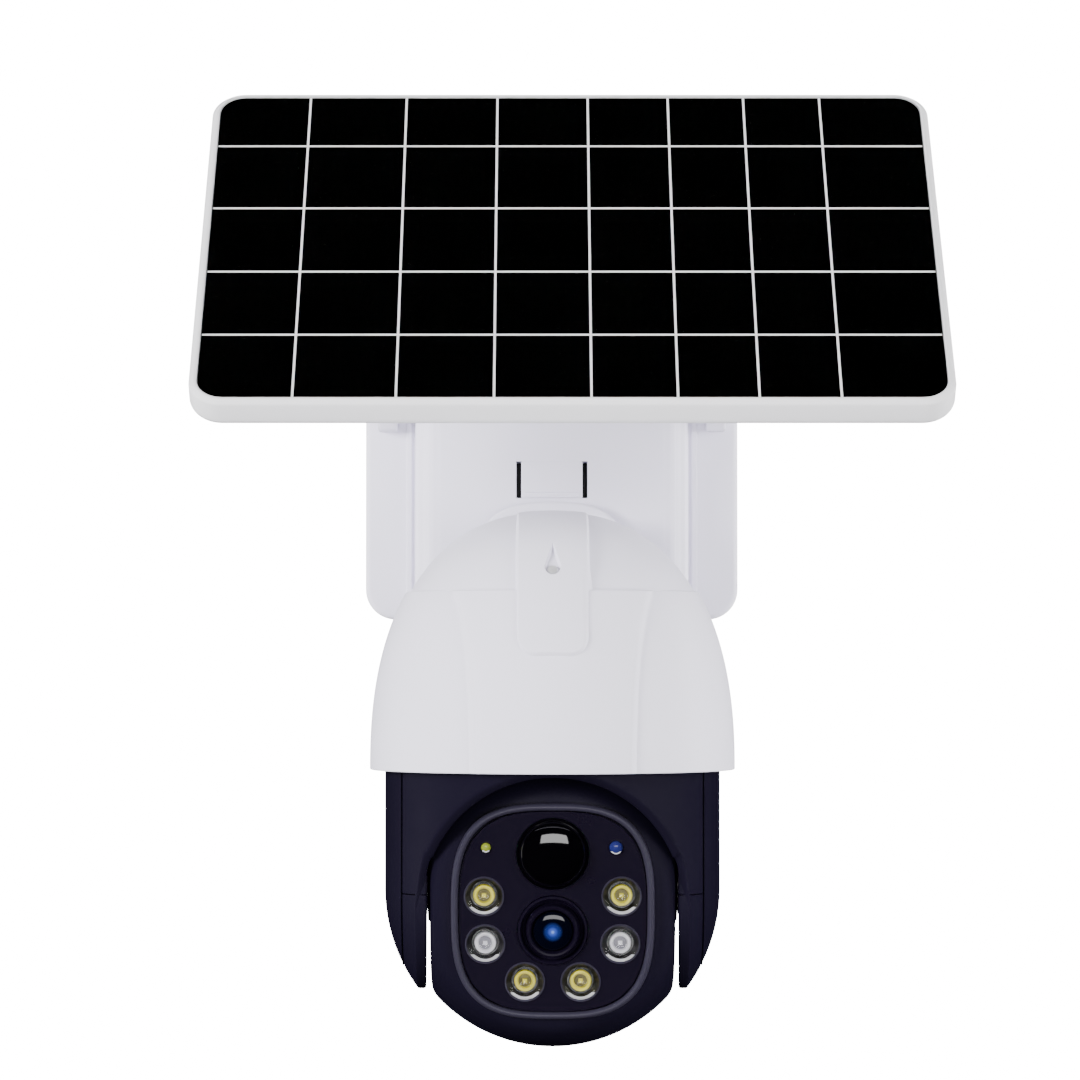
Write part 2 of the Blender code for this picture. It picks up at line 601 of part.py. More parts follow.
def face_outline(inset, steps=36):
    """The face's outline, a superellipse moved in by the inset."""
    points = []
    for step in range(steps):
        angle = 2 * math.pi * step / steps
        c, s = math.cos(angle), math.sin(angle)
        reach = (abs(c) ** FACE_POWER + abs(s) ** FACE_POWER) ** (-1 / FACE_POWER)
        across = (FACE_HALF_WIDTH_RING - inset) * reach * c
        points.append((across, (FACE_HALF_HEIGHT_RING - inset) * reach * s))
    return points


def head_shells(tilt):
    """A hollow ball with flat sides, cut off flat in front, in a front and a rear piece."""
    split = 14.0 * MM
    front_y = -FACE_DEPTH + 1.8 * MM
    side = HEAD_HALF_WIDTH - WALL
    boss_end = ARM_INNER - GAP
    space = solid("head_space", ball_mesh(HEAD_RADIUS - WALL, 24, 12), parent=tilt)
    room = block((-side, front_y + WALL, -80 * MM), (side, 80 * MM, 80 * MM))
    combine(space, "INTERSECT", solid("head_room", room, parent=tilt))
    opening = solid("face_opening", prism(face_outline(3.4 * MM), -60 * MM, -30 * MM, "y"), parent=tilt)
    shaft_way = solid("shaft_way", rod(7.3 * MM, -60 * MM, 60 * MM, 28, "x"), parent=tilt)
    boss = solid("side_boss", rod(HUB_BOSS_RADIUS, -boss_end, boss_end, 28, "x"), parent=tilt)
    for name, low, high in (("head_shell_front", front_y, split), ("head_shell_rear", split + GAP, 80 * MM)):
        shell = solid(name, ball_mesh(HEAD_RADIUS, 36, 18), "black_plastic", tilt)
        zone = block((-HEAD_HALF_WIDTH, low, -80 * MM), (HEAD_HALF_WIDTH, high, 80 * MM))
        combine(shell, "INTERSECT", solid(name + "_zone", zone, parent=tilt))
        if name == "head_shell_front":
            combine(shell, "UNION", boss)
            combine(shell, "DIFFERENCE", space, opening, shaft_way)
        else:
            combine(shell, "DIFFERENCE", space)


def tilt_hubs(tilt):
    for side, turn in (("left", math.pi), ("right", 0.0)):
        profile = [(0, 36.5 * MM), (10 * MM, 36.5 * MM), (10 * MM, 38.5 * MM), (7.0 * MM, 38.5 * MM),
                   (7.0 * MM, 43.9 * MM), (4.5 * MM, 43.9 * MM), (4.5 * MM, 47.2 * MM), (0, 47.2 * MM)]
        solid("tilt_hub_" + side, turned(profile, 28, "x"), "steel", tilt, turn=(0, 0, turn))
    mesh = gear(TILT_TEETH, TILT_MODULE, -47.0 * MM, -44.2 * MM, along="x")
    wheel = solid("tilt_gear", mesh, "gear_plastic", tilt, turn=(-HEAD_DROOP, 0, 0))
    bore = solid("tilt_gear_bore", rod(4.8 * MM, -50 * MM, -40 * MM, 20, "x"), parent=tilt)
    combine(wheel, "DIFFERENCE", bore)


def face_plate(tilt):
    surface = -FACE_DEPTH
    back = surface + 1.5 * MM
    plate = prism(face_outline(RING_WIDTH + GAP), surface, back, "y")
    plate = solid("face_plate", plate, "black_plastic", tilt)
    holes = [(PIR_PLACE, PIR_RADIUS), (LENS_PLACE, LENS_RING_RADIUS), (STATUS_PLACE, STATUS_RADIUS),
             (SENSOR_PLACE, SENSOR_RADIUS)]
    holes += [(place, LAMP_RADIUS) for place in LAMPS.values()]
    for (x, up), radius in holes:
        hole = rod(radius + GAP, FACE_DEPTH - 5 * MM, FACE_DEPTH + 5 * MM, 20, "-y")
        combine(plate, "DIFFERENCE", solid("face_hole", hole, parent=tilt, place=(x, 0, up)))
    bezel = solid("bezel_ring", prism(face_outline(0), surface - 1 * MM, back, "y"), "grey_trim", tilt)
    inside = prism(face_outline(RING_WIDTH), surface - 4 * MM, back + 4 * MM, "y")
    combine(bezel, "DIFFERENCE", solid("bezel_inside", inside, parent=tilt))


def on_face(name, profile, steps, paint, tilt, place, closed=False):
    """A turned piece whose axis stands square on the face at the given place."""
    mesh = turned(profile, steps, "-y", closed)
    return solid(name, mesh, paint, tilt, place=(place[0], 0, place[1]))


def face_pieces(tilt):
    deep = FACE_DEPTH
    dome = [(0, deep + 5.0 * MM)]
    for step in range(1, 6):
        angle = math.radians(90 - 15 * step)
        dome.append((PIR_RADIUS * math.cos(angle), deep + 5.0 * MM * math.sin(angle)))
    dome += [(PIR_RADIUS, deep - 1.0 * MM), (PIR_RADIUS - 1.5 * MM, deep - 1.0 * MM),
             (PIR_RADIUS - 1.5 * MM, deep), (0, deep + 3.2 * MM)]
    on_face("motion_dome", dome, 28, "dark_lens", tilt, PIR_PLACE)
    can = [(0, 34 * MM), (4.6 * MM, 34 * MM), (4.6 * MM, 31 * MM), (0, 31 * MM)]
    on_face("motion_sensor", can, 20, "steel", tilt, PIR_PLACE)
    barrel = [
        (7.2 * MM, deep + 2.2 * MM), (LENS_RADIUS, deep + 2.6 * MM),
        (LENS_RADIUS + 0.4 * MM, deep + 0.6 * MM),
        (LENS_RING_RADIUS, deep + 1.0 * MM), (LENS_RING_RADIUS, deep - 2 * MM), (8 * MM, deep - 2 * MM),
        (8 * MM, 20 * MM), (4 * MM, 20 * MM), (4 * MM, deep - 4 * MM), (6.4 * MM, deep - 1 * MM),
    ]
    on_face("lens_barrel", barrel, 28, "black_plastic", tilt, LENS_PLACE, closed=True)
    glass = [(0, deep + 2.6 * MM), (3.4 * MM, deep + 2.2 * MM), (6.1 * MM, deep + 0.8 * MM),
             (6.1 * MM, deep - 0.4 * MM), (4 * MM, deep - 2.2 * MM), (0, deep - 3 * MM)]
    on_face("lens_glass", glass, 24, "dark_lens", tilt, LENS_PLACE)
    board = block((-15 * MM, -19.7 * MM, -21 * MM), (15 * MM, -18.1 * MM, 9 * MM))
    solid("image_board", board, "circuit_board", tilt)
    board = solid("lamp_board", prism(rounded(29 * MM, 30.5 * MM, 16 * MM), -30.2 * MM, -29 * MM, "y"),
                  "circuit_board", tilt)
    hole = rod(9 * MM, 25 * MM, 35 * MM, 24, "-y")
    combine(board, "DIFFERENCE",
            solid("barrel_way", hole, parent=tilt, place=(LENS_PLACE[0], 0, LENS_PLACE[1])))
    cup = [(LAMP_RADIUS, deep + 0.4 * MM), (LAMP_RADIUS, 30.6 * MM), (2.5 * MM, 30.6 * MM),
           (2.5 * MM, 32 * MM), (3.8 * MM, 33 * MM), (LAMP_RADIUS - 0.7 * MM, deep + 0.4 * MM)]
    for name, place in LAMPS.items():
        on_face(name, list(reversed(cup)), 16, "lamp_reflector", tilt, place, closed=True)
    for name, place, radius, paint in (("status_light", STATUS_PLACE, STATUS_RADIUS, "status_green"),
                                       ("light_sensor", SENSOR_PLACE, SENSOR_RADIUS, "sensor_blue")):
        pin = [(0, deep + 0.7 * radius), (0.7 * radius, deep + 0.4 * radius), (radius, deep),
               (radius, 31 * MM), (0, 31 * MM)]
        on_face(name, pin, 16, paint, tilt, place)


# ---------------------------------------------------------------- solar panel, on its hinge

def panel_outline(inset, back_inset=None):
    """The panel's outline moved in by the inset, and by its own amount along the top edge."""
    shift = (inset - (inset if back_inset is None else back_inset)) / 2
    return rounded(PANEL_HALF_WIDTH - inset, PANEL_HALF_LENGTH - inset + shift, PANEL_CORNER - inset, 6,
                   (PANEL_X, PANEL_Y + shift))


def solar_panel(hinge):
    low = PANEL_UNDERSIDE
    top = low + PANEL_THICK
    frame = solid("panel_frame", prism(panel_outline(0), low, top), "white_plastic", hinge)
    recess = prism(panel_outline(PANEL_RIM, PANEL_BACK_RIM), top - 2.1 * MM, top + 2 * MM)
    recess = solid("glass_recess", recess, parent=hinge)
    hollow = solid("frame_hollow", prism(panel_outline(3 * MM), low - 2 * MM, top - 5 * MM), parent=hinge)
    combine(frame, "DIFFERENCE", recess, hollow)
    inside = panel_outline(PANEL_RIM + GAP, PANEL_BACK_RIM + GAP)
    solid("cell_sheet", prism(inside, top - 1.8 * MM, top - 0.9 * MM), "panel_cells", hinge)
    solid("panel_glass", prism(inside, top - 0.6 * MM, top - 0.1 * MM), "clear_glass", hinge)

    back = solid("panel_back", prism(panel_outline(3 * MM + GAP), low, low + 2 * MM), "white_plastic", hinge)
    lug = arc((0, 0), 8 * MM, 180, 360, 12) + [(12 * MM, low + 1 * MM), (-12 * MM, low + 1 * MM)]
    for side, near, far in (("left", -LUG_OUTER, -LUG_INNER), ("right", LUG_INNER, LUG_OUTER)):
        combine(back, "UNION", solid("lug_" + side, prism(lug, near, far, "x"), parent=hinge))
    bolt_way = rod(BOLT_RADIUS + GAP, -75 * MM, 75 * MM, 20, "x")
    combine(back, "DIFFERENCE", solid("lug_bore", bolt_way, parent=hinge))

    outline = rounded(22 * MM, 15 * MM, 4 * MM, 3, (0, JUNCTION_Y))
    box = solid("junction_box", prism(outline, 5 * MM, low - GAP), "black_plastic", hinge)
    gland = turned([(0, 10 * MM), (2.6 * MM, 10 * MM), (4 * MM, 8 * MM), (4.6 * MM, 0), (4.6 * MM, -4 * MM),
                    (0, -4 * MM)], 18, "-y")
    combine(box, "UNION", solid("gland", gland, parent=hinge, place=(0, JUNCTION_Y + 15 * MM, 10 * MM),
                                turn=(0, 0, math.pi)))


def panel_brackets():
    """Two arms from the wings of the box up to the hinge, each with a thumb screw."""
    hinge = (HINGE_Y, HINGE_Z)
    head = 9 * MM
    outline = [(WING_FACE_Y - GAP, 50 * MM)]
    outline += [(y, z) for y, z in arc(hinge, head, 60, 215, 12)]
    outline += [(WING_FACE_Y - 8 * MM, 16.5 * MM), (WING_FACE_Y - 6 * MM, 14.8 * MM),
                (WING_FACE_Y - GAP, 14.8 * MM)]
    for side, sign in (("left", -1), ("right", 1)):
        low, high = sorted((sign * BRACKET_INNER, sign * BRACKET_OUTER))
        arm = solid("bracket_" + side, prism(outline, low, high, "x"), "white_plastic")
        way = rod(BOLT_RADIUS + GAP, -80 * MM, 80 * MM, 20, "x")
        combine(arm, "DIFFERENCE", solid("bolt_way_" + side, way, place=(0, HINGE_Y, HINGE_Z)))
        profile = [(0, LUG_INNER - 2 * MM), (BOLT_RADIUS, LUG_INNER - 2 * MM),
                   (BOLT_RADIUS, BRACKET_OUTER + GAP), (7 * MM, BRACKET_OUTER + GAP),
                   (7 * MM, BRACKET_OUTER + 5 * MM), (5.5 * MM, BRACKET_OUTER + 6.5 * MM),
                   (0, BRACKET_OUTER + 6.5 * MM)]
        turn = (0, 0, math.pi) if sign < 0 else (0, 0, 0)
        solid("thumb_screw_" + side, turned(profile, 20, "x"), "black_plastic",
              place=(0, HINGE_Y, HINGE_Z), turn=turn)


def main():
    clear_scene()
    wall_plate()
    battery_box()
    release_tab()
    battery_contents()
    box_controls()
    neck_collar()
    hood_skirt()
    hood_cap()
    hood_contents()
    panel_brackets()
    pan = axis_empty("pan_axis", (0, PAN_Y, 0))
    yoke(pan)
    arm_covers(pan)
    yoke_drives(pan)
    pinions(pan)
    tilt = axis_empty("tilt_axis", (0, 0, PIVOT_Z), HEAD_DROOP, pan)
    head_shells(tilt)
    tilt_hubs(tilt)
    face_plate(tilt)
    face_pieces(tilt)
    hinge = axis_empty("panel_hinge", (0, HINGE_Y, HINGE_Z), PANEL_TILT)
    solar_panel(hinge)


main()
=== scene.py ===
"""Looks for a solar pan-tilt security camera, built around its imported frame.

Every new piece is a surface worked out on a grid of two parameters and put into a mesh whole.
Lengths are in metres; an outline is a set of points (u, v) and a profile is a list of
(inset, height) pairs that carries the outline from one level to the next.
"""
import json
import math

import bmesh
import bpy
import numpy as np
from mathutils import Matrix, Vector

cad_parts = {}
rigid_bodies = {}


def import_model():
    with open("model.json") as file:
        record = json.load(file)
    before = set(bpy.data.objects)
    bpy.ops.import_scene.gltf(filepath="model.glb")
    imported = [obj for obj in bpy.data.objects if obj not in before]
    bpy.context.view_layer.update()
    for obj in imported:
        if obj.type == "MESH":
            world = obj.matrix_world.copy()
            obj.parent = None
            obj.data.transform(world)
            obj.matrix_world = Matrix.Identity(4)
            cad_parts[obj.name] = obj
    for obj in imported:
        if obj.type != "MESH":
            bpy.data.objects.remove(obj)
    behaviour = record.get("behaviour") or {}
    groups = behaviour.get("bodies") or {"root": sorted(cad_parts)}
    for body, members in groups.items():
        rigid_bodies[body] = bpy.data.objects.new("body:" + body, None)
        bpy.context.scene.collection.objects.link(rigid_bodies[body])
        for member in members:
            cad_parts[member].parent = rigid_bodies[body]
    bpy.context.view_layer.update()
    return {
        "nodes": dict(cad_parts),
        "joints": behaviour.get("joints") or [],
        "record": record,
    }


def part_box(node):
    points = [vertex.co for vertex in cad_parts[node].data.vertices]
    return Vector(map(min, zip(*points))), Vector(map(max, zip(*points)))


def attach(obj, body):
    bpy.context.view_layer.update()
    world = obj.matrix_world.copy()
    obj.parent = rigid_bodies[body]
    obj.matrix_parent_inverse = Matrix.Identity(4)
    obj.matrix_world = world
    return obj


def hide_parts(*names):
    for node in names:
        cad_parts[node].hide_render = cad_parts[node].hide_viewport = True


for old in list(bpy.data.objects):
    bpy.data.objects.remove(old, do_unlink=True)

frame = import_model()

bl_info = {
    "name": "Solar Pan-Tilt Security Camera",
    "version": (1, 0, 0),
    "blender": (4, 5, 0),
    "location": "View3D > Sidebar > Camera Build",
    "description": "Builds the finished surfaces of a solar security camera around its frame",
    "category": "Object",
}

MM = 0.001
JOINTS = {joint["name"]: joint for joint in frame["joints"]}
PIVOT = np.array(JOINTS["tilt"]["pos_m"])
HINGE = np.array(JOINTS["panel_tilt"]["pos_m"])
PAN_Y = PIVOT[1]
SLOT_OF = {row["node"]: row["material_slot"] for row in frame["record"]["subparts"]}
HEAD_DROOP = math.radians(9)
PANEL_TILT = math.radians(45.5)

# Hood: a superellipse turned about the pan axis
HOOD_RIM_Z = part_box("hood_skirt")[0][2]
HOOD_RADIUS = 61.8 * MM
HOOD_RISE = 88.3 * MM
HOOD_POWER = 2.35
HOOD_SEAM_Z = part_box("hood_skirt")[1][2]
CAP_STEP = 1.2 * MM
HOOD_WALL = 2.2 * MM
HOOD_FACETS = 960

# Yoke and head
YOKE_RADIUS = 56.7 * MM
CROWN_FACETS = 960
CROWN_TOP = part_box("yoke")[1][2] - 12.7 * MM
ARM_INNER = 42.4 * MM
ARM_END = 34.0 * MM
ARM_OUTER = 49.9 * MM
COVER_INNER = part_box("arm_cover_right")[0][0]
HEAD_RADIUS = 53.5 * MM
HEAD_SIDE = 40.8 * MM
FACE_DEPTH = 38.0 * MM
FACE_HALF = (33.5 * MM, 36.2 * MM)
FACE_POWER = 3.0
FACE_SUNK = 1.4 * MM                 # the shell's flat lies this far behind the face plate
HEAD_FACETS = 288


# ---------------------------------------------------------------- settings a user can change

class CameraColours(bpy.types.PropertyGroup):
    white: bpy.props.FloatVectorProperty(
        name="White plastic", description="Colour of the hood, box and panel frame",
        subtype="COLOR", size=3, min=0, max=1, default=(0.715, 0.695, 0.80))
    black: bpy.props.FloatVectorProperty(
        name="Black plastic", description="Colour of the yoke and the head",
        subtype="COLOR", size=3, min=0, max=1, default=(0.0052, 0.0040, 0.0105))
    trim: bpy.props.FloatVectorProperty(
        name="Bezel trim", description="Colour of the ring round the face",
        subtype="COLOR", size=3, min=0, max=1, default=(0.020, 0.018, 0.030))
    warm: bpy.props.FloatVectorProperty(
        name="Warm lamp", description="Colour of the warm lamps' phosphor",
        subtype="COLOR", size=3, min=0, max=1, default=(0.42, 0.37, 0.016))
    cool: bpy.props.FloatVectorProperty(
        name="White lamp", description="Colour of the white lamps' phosphor",
        subtype="COLOR", size=3, min=0, max=1, default=(0.50, 0.49, 0.53))


class CameraSizes(bpy.types.PropertyGroup):
    grid_line: bpy.props.FloatProperty(
        name="Cell line", description="Width of the white lines between the solar cells",
        unit="LENGTH", min=0.0002, max=0.003, default=0.75 * MM)
    tongue_rise: bpy.props.FloatProperty(
        name="Tongue rise", description="How far the hood's tongue stands out",
        unit="LENGTH", min=0.0002, max=0.002, default=1.2 * MM)
    grain: bpy.props.FloatProperty(
        name="Plastic grain", description="Depth of the moulded plastic's fine grain",
        unit="LENGTH", min=0.0, max=0.0005, default=0.02 * MM)
    facets: bpy.props.IntProperty(
        name="Facets", description="Points round each turned piece", min=48, max=360, default=144)


def sizes():
    return bpy.context.scene.camera_sizes


def colours():
    return bpy.context.scene.camera_colours


# ---------------------------------------------------------------- meshes from grids

def skin(rows, loop=False):
    """Vertices and faces of a closed surface through rows of points, each row closed on itself.

    Face (i, j) joins points j and j + 1 of rows i and i + 1. With loop the last row joins the
    first; otherwise a fan to the middle of each end row closes the surface.
    """
    rows = np.asarray(rows, dtype=float)
    count, around = rows.shape[:2]
    verts = rows.reshape(-1, 3)
    index = np.arange(count * around).reshape(count, around)
    beside = np.roll(index, -1, axis=1)
    low, high = (index, np.roll(index, -1, axis=0)) if loop else (index[:-1], index[1:])
    low_next, high_next = (beside, np.roll(beside, -1, axis=0)) if loop else (beside[:-1], beside[1:])
    quads = np.stack([low, low_next, high_next, high], axis=-1).reshape(-1, 4)
    fans = np.zeros((0, 3), dtype=int)
    if not loop:
        middles = np.stack([rows[0].mean(axis=0), rows[-1].mean(axis=0)])
        start = len(verts)
        verts = np.concatenate([verts, middles])
        first = np.stack([beside[0], index[0], np.full(around, start)], axis=-1)
        last = np.stack([index[-1], beside[-1], np.full(around, start + 1)], axis=-1)
        fans = np.concatenate([first, last])
    return outward(verts, quads, fans)


def outward(verts, quads, fans):
    """Turns the faces round if the volume that they enclose comes out negative."""
    triangles = np.concatenate([quads[:, [0, 1, 2]], quads[:, [0, 2, 3]], fans])
    a, b, c = (verts[triangles[:, k]] for k in range(3))
    if np.einsum("ij,ij->i", a, np.cross(b, c)).sum() < 0:
        quads, fans = quads[:, ::-1], fans[:, ::-1]
    return verts, quads, fans


def piece(name, shells, body, paint, replaces=(), sharp=32):
    """One object from closed shells, riding on its body, with doubled points merged."""
    if isinstance(shells, tuple):
        shells = [shells]
    verts, loops, totals, start = [], [], [], 0
    for points, quads, fans in shells:
        verts.append(points)
        for faces in (quads, fans):
            loops.append((faces + start).ravel())
            totals.append(np.full(len(faces), faces.shape[1]))
        start += len(points)
    verts, loops, totals = np.concatenate(verts), np.concatenate(loops), np.concatenate(totals)
    data = bpy.data.meshes.new(name)
    data.vertices.add(len(verts))
    data.vertices.foreach_set("co", verts.ravel())
    data.loops.add(len(loops))
    data.loops.foreach_set("vertex_index", loops.astype(np.int32))
    data.polygons.add(len(totals))
    data.polygons.foreach_set("loop_start", np.concatenate([[0], np.cumsum(totals)[:-1]]).astype(np.int32))
    data.update(calc_edges=True)
    made = bpy.data.objects.new(name, data)
    bpy.context.scene.collection.objects.link(made)
    merge_doubles(data)
    data.shade_smooth()
    data.set_sharp_from_angle(angle=math.radians(sharp))
    data.materials.append(paint)
    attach(made, body)
    if replaces:
        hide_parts(*replaces)
    return made


def merge_doubles(data):
    """Merges points that fell on each other, at poles and corners, and drops the empty faces."""
    mesh = bmesh.new()
    mesh.from_mesh(data)
    bmesh.ops.remove_doubles(mesh, verts=mesh.verts, dist=2e-6)
    bmesh.ops.dissolve_degenerate(mesh, edges=mesh.edges, dist=1e-7)
    mesh.to_mesh(data)
    mesh.free()


def around(count):
    """Angles of count points evenly round a circle."""
    return np.arange(count) * (2 * np.pi / count)


def arc(start, end, steps):
    """Angles in radians from start to end, given in degrees, both ends included."""
    return np.radians(np.linspace(start, end, steps + 1))


def rounded(half_width, half_height, radius, inset=0.0, centre=(0.0, 0.0), steps=10):
    """Outline of a rectangle with round corners: corner centre plus radius times (cos, sin)."""
    radius = max(radius - inset, 1e-5)
    half_width, half_height = half_width - inset, half_height - inset
    parts = []
    for corner, (sx, sy) in enumerate(((1, 1), (-1, 1), (-1, -1), (1, -1))):
        angle = arc(90 * corner, 90 * corner + 90, steps)
        parts.append(np.stack([
            centre[0] + sx * (half_width - radius) + radius * np.cos(angle),
            centre[1] + sy * (half_height - radius) + radius * np.sin(angle)], axis=-1))
    return np.concatenate(parts)


def even(outline, count):
    """The same closed outline through count points at even distances along it."""
    closed = np.concatenate([outline, outline[:1]])
    length = np.concatenate([[0], np.cumsum(np.linalg.norm(np.diff(closed, axis=0), axis=1))])
    at = np.linspace(0, length[-1], count, endpoint=False)
    return np.stack([np.interp(at, length, closed[:, k]) for k in range(2)], axis=-1)


def shrunk(outline, inset):
    """An outline moved in along its normals, which are the tangent turned a quarter."""
    tangent = np.roll(outline, -1, axis=0) - np.roll(outline, 1, axis=0)
    tangent /= np.maximum(np.linalg.norm(tangent, axis=1, keepdims=True), 1e-12)
    return outline + inset * np.stack([-tangent[:, 1], tangent[:, 0]], axis=-1)


def soft_slab(low, high, edge, steps=4):
    """Profile of a slab with round edges: quarter arcs of the edge radius at both ends."""
    bottom = [(edge * (1 - math.cos(a)), low + edge * (1 - math.sin(a))) for a in arc(0, 90, steps)]
    top = [(edge * (1 - math.cos(a)), high - edge * (1 - math.sin(a))) for a in arc(0, 90, steps)]
    return list(reversed(bottom)) + top


ALONG = {
    "x": lambda u, v, h: np.stack([h, u, v], axis=-1),
    "y": lambda u, v, h: np.stack([u, -h, v], axis=-1),
    "z": lambda u, v, h: np.stack([u, v, h], axis=-1),
}


def carried(outline, profile, along="z", place=None, loop=False):
    """A profile carried round an outline: row k is the outline at inset k, at height k."""
    rows = []
    for inset, height in profile:
        flat = outline(inset)
        rows.append(ALONG[along](flat[:, 0], flat[:, 1], np.full(len(flat), height)))
    rows = np.stack(rows)
    return skin(place(rows) if place else rows, loop)


def turned(profile, along="z", place=None, loop=False, steps=None):
    """A profile of (radius, height) spun about an axis: (r cos a, r sin a, height)."""
    angle = around(steps or sizes().facets)
    radius, height = np.array(profile, dtype=float).T
    radius = np.maximum(radius, 1e-7)[:, None]
    u, v = radius * np.cos(angle), radius * np.sin(angle)
    rows = ALONG[along](u, v, height[:, None] + 0 * u)
    return skin(place(rows) if place else rows, loop)


def leaned(origin, lean):
    """A place: turns points about X by the lean and moves them to the origin."""
    c, s = math.cos(lean), math.sin(lean)
    turn = np.array([[1, 0, 0], [0, c, -s], [0, s, c]])
    return lambda points: points @ turn.T + origin


on_head = leaned(PIVOT, HEAD_DROOP)
on_panel = leaned(HINGE, PANEL_TILT)


def at(x, y, z, then=None):
    """A place: moves points by (x, y, z), then puts them in another place."""
    def move(points):
        moved = points + np.array([x, y, z])
        return then(moved) if then else moved
    return move


def step_up(value, edge):
    """0 below -edge/2, 1 above edge/2, and the smooth cubic 3t^2 - 2t^3 between."""
    share = np.clip(value / edge + 0.5, 0, 1)
    return share * share * (3 - 2 * share)


# ---------------------------------------------------------------- materials

def principled(name, colour, rough, metallic=0.0, **sockets):
    made = bpy.data.materials.new(name)
    made.use_nodes = True
    shader = made.node_tree.nodes["Principled BSDF"]
    shader.inputs["Base Color"].default_value = (*colour, 1.0)
    shader.inputs["Roughness"].default_value = rough
    shader.inputs["Metallic"].default_value = metallic
    for socket, value in sockets.items():
        shader.inputs[socket.replace("_", " ")].default_value = value
    return made


def noise(tree, scale, detail=2.0, coordinate="Object"):
    """A noise on the piece's own coordinates."""
    place = tree.nodes.new("ShaderNodeTexCoord")
    made = tree.nodes.new("ShaderNodeTexNoise")
    made.inputs["Scale"].default_value = scale
    made.inputs["Detail"].default_value = detail
    tree.links.new(place.outputs[coordinate], made.inputs["Vector"])
    return made


def spread(tree, source, low, high):
    """Maps a 0 to 1 value onto low to high."""
    made = tree.nodes.new("ShaderNodeMapRange")
    made.inputs["From Min"].default_value = 0.3
    made.inputs["From Max"].default_value = 0.7
    made.inputs["To Min"].default_value = low
    made.inputs["To Max"].default_value = high
    tree.links.new(source, made.inputs["Value"])
    return made.outputs["Result"]


def moulded(name, colour, rough, grain, grain_scale, drift=0.06, rough_drift=0.05, **sockets):
    """Moulded plastic: fine grain in the surface, faint cloudiness in colour and gloss."""
    made = principled(name, colour, rough, **sockets)
    tree = made.node_tree
    shader = tree.nodes["Principled BSDF"]
    cloud = noise(tree, 28, 3)
    tone = tree.nodes.new("ShaderNodeMix")
    tone.data_type = "RGBA"
    tone.inputs["A"].default_value = (*(c * (1 - drift) for c in colour), 1)
    tone.inputs["B"].default_value = (*(min(c * (1 + drift), 1) for c in colour), 1)
    tree.links.new(cloud.outputs["Fac"], tone.inputs["Factor"])
    tree.links.new(tone.outputs["Result"], shader.inputs["Base Color"])
    smear = noise(tree, 90, 4)
    tree.links.new(spread(tree, smear.outputs["Fac"], rough - rough_drift, rough + rough_drift),
                   shader.inputs["Roughness"])
    fine = noise(tree, grain_scale, 2)
    bump = tree.nodes.new("ShaderNodeBump")
    bump.inputs["Distance"].default_value = grain
    bump.inputs["Strength"].default_value = 0.6
    tree.links.new(fine.outputs["Fac"], bump.inputs["Height"])
    tree.links.new(bump.outputs["Normal"], shader.inputs["Normal"])
    return made


def rings_material(name, stops, centre, axis_turn, reach, rough):
    """A colour that changes with the distance from a centre, as coatings on a lens do."""
    made = principled(name, stops[-1][1], rough, Coat_Weight=1.0, Coat_Roughness=0.02)
    tree = made.node_tree
    place = tree.nodes.new("ShaderNodeTexCoord")
    mapping = tree.nodes.new("ShaderNodeMapping")
    mapping.vector_type = "TEXTURE"
    mapping.inputs["Location"].default_value = centre
    mapping.inputs["Rotation"].default_value = (axis_turn, 0, 0)
    mapping.inputs["Scale"].default_value = (reach, reach * 20, reach)
    ball = tree.nodes.new("ShaderNodeTexGradient")
    ball.gradient_type = "SPHERICAL"
    ramp = tree.nodes.new("ShaderNodeValToRGB")
    ramp.color_ramp.interpolation = "EASE"
    first, *rest = stops
    ramp.color_ramp.elements[0].position = 1 - rest[-1][0]
    ramp.color_ramp.elements[0].color = (*rest[-1][1], 1)
    ramp.color_ramp.elements[1].position = 1 - first[0]
    ramp.color_ramp.elements[1].color = (*first[1], 1)
    for share, colour in rest[:-1]:
        ramp.color_ramp.elements.new(1 - share).color = (*colour, 1)
    tree.links.new(place.outputs["Object"], mapping.inputs["Vector"])
    tree.links.new(mapping.outputs["Vector"], ball.inputs["Vector"])
    tree.links.new(ball.outputs["Fac"], ramp.inputs["Fac"])
    tree.links.new(ramp.outputs["Color"], tree.nodes["Principled BSDF"].inputs["Base Color"])
    return made


def brushed(name, colour, rough):
    """Metal with fine streaks along Z."""
    made = principled(name, colour, rough, 0.5)
    tree = made.node_tree
    streak = noise(tree, 60, 3)
    mapping = tree.nodes.new("ShaderNodeMapping")
    mapping.inputs["Scale"].default_value = (12, 12, 0.6)
    source = streak.inputs["Vector"].links[0].from_socket
    tree.links.new(source, mapping.inputs["Vector"])
    tree.links.new(mapping.outputs["Vector"], streak.inputs["Vector"])
    tree.links.new(spread(tree, streak.outputs["Fac"], rough - 0.1, rough + 0.15),
                   tree.nodes["Principled BSDF"].inputs["Roughness"])
    bump = tree.nodes.new("ShaderNodeBump")
    bump.inputs["Distance"].default_value = 0.01 * MM
    tree.links.new(streak.outputs["Fac"], bump.inputs["Height"])
    tree.links.new(bump.outputs["Normal"], tree.nodes["Principled BSDF"].inputs["Normal"])
    return made


PAINTS = {}
BOX_PAINTED_LIGHT = 1.12                  # the box's white over the hood's: painted light that makes up for the panel's shade on the box


def paint(name):
    return PAINTS[name]


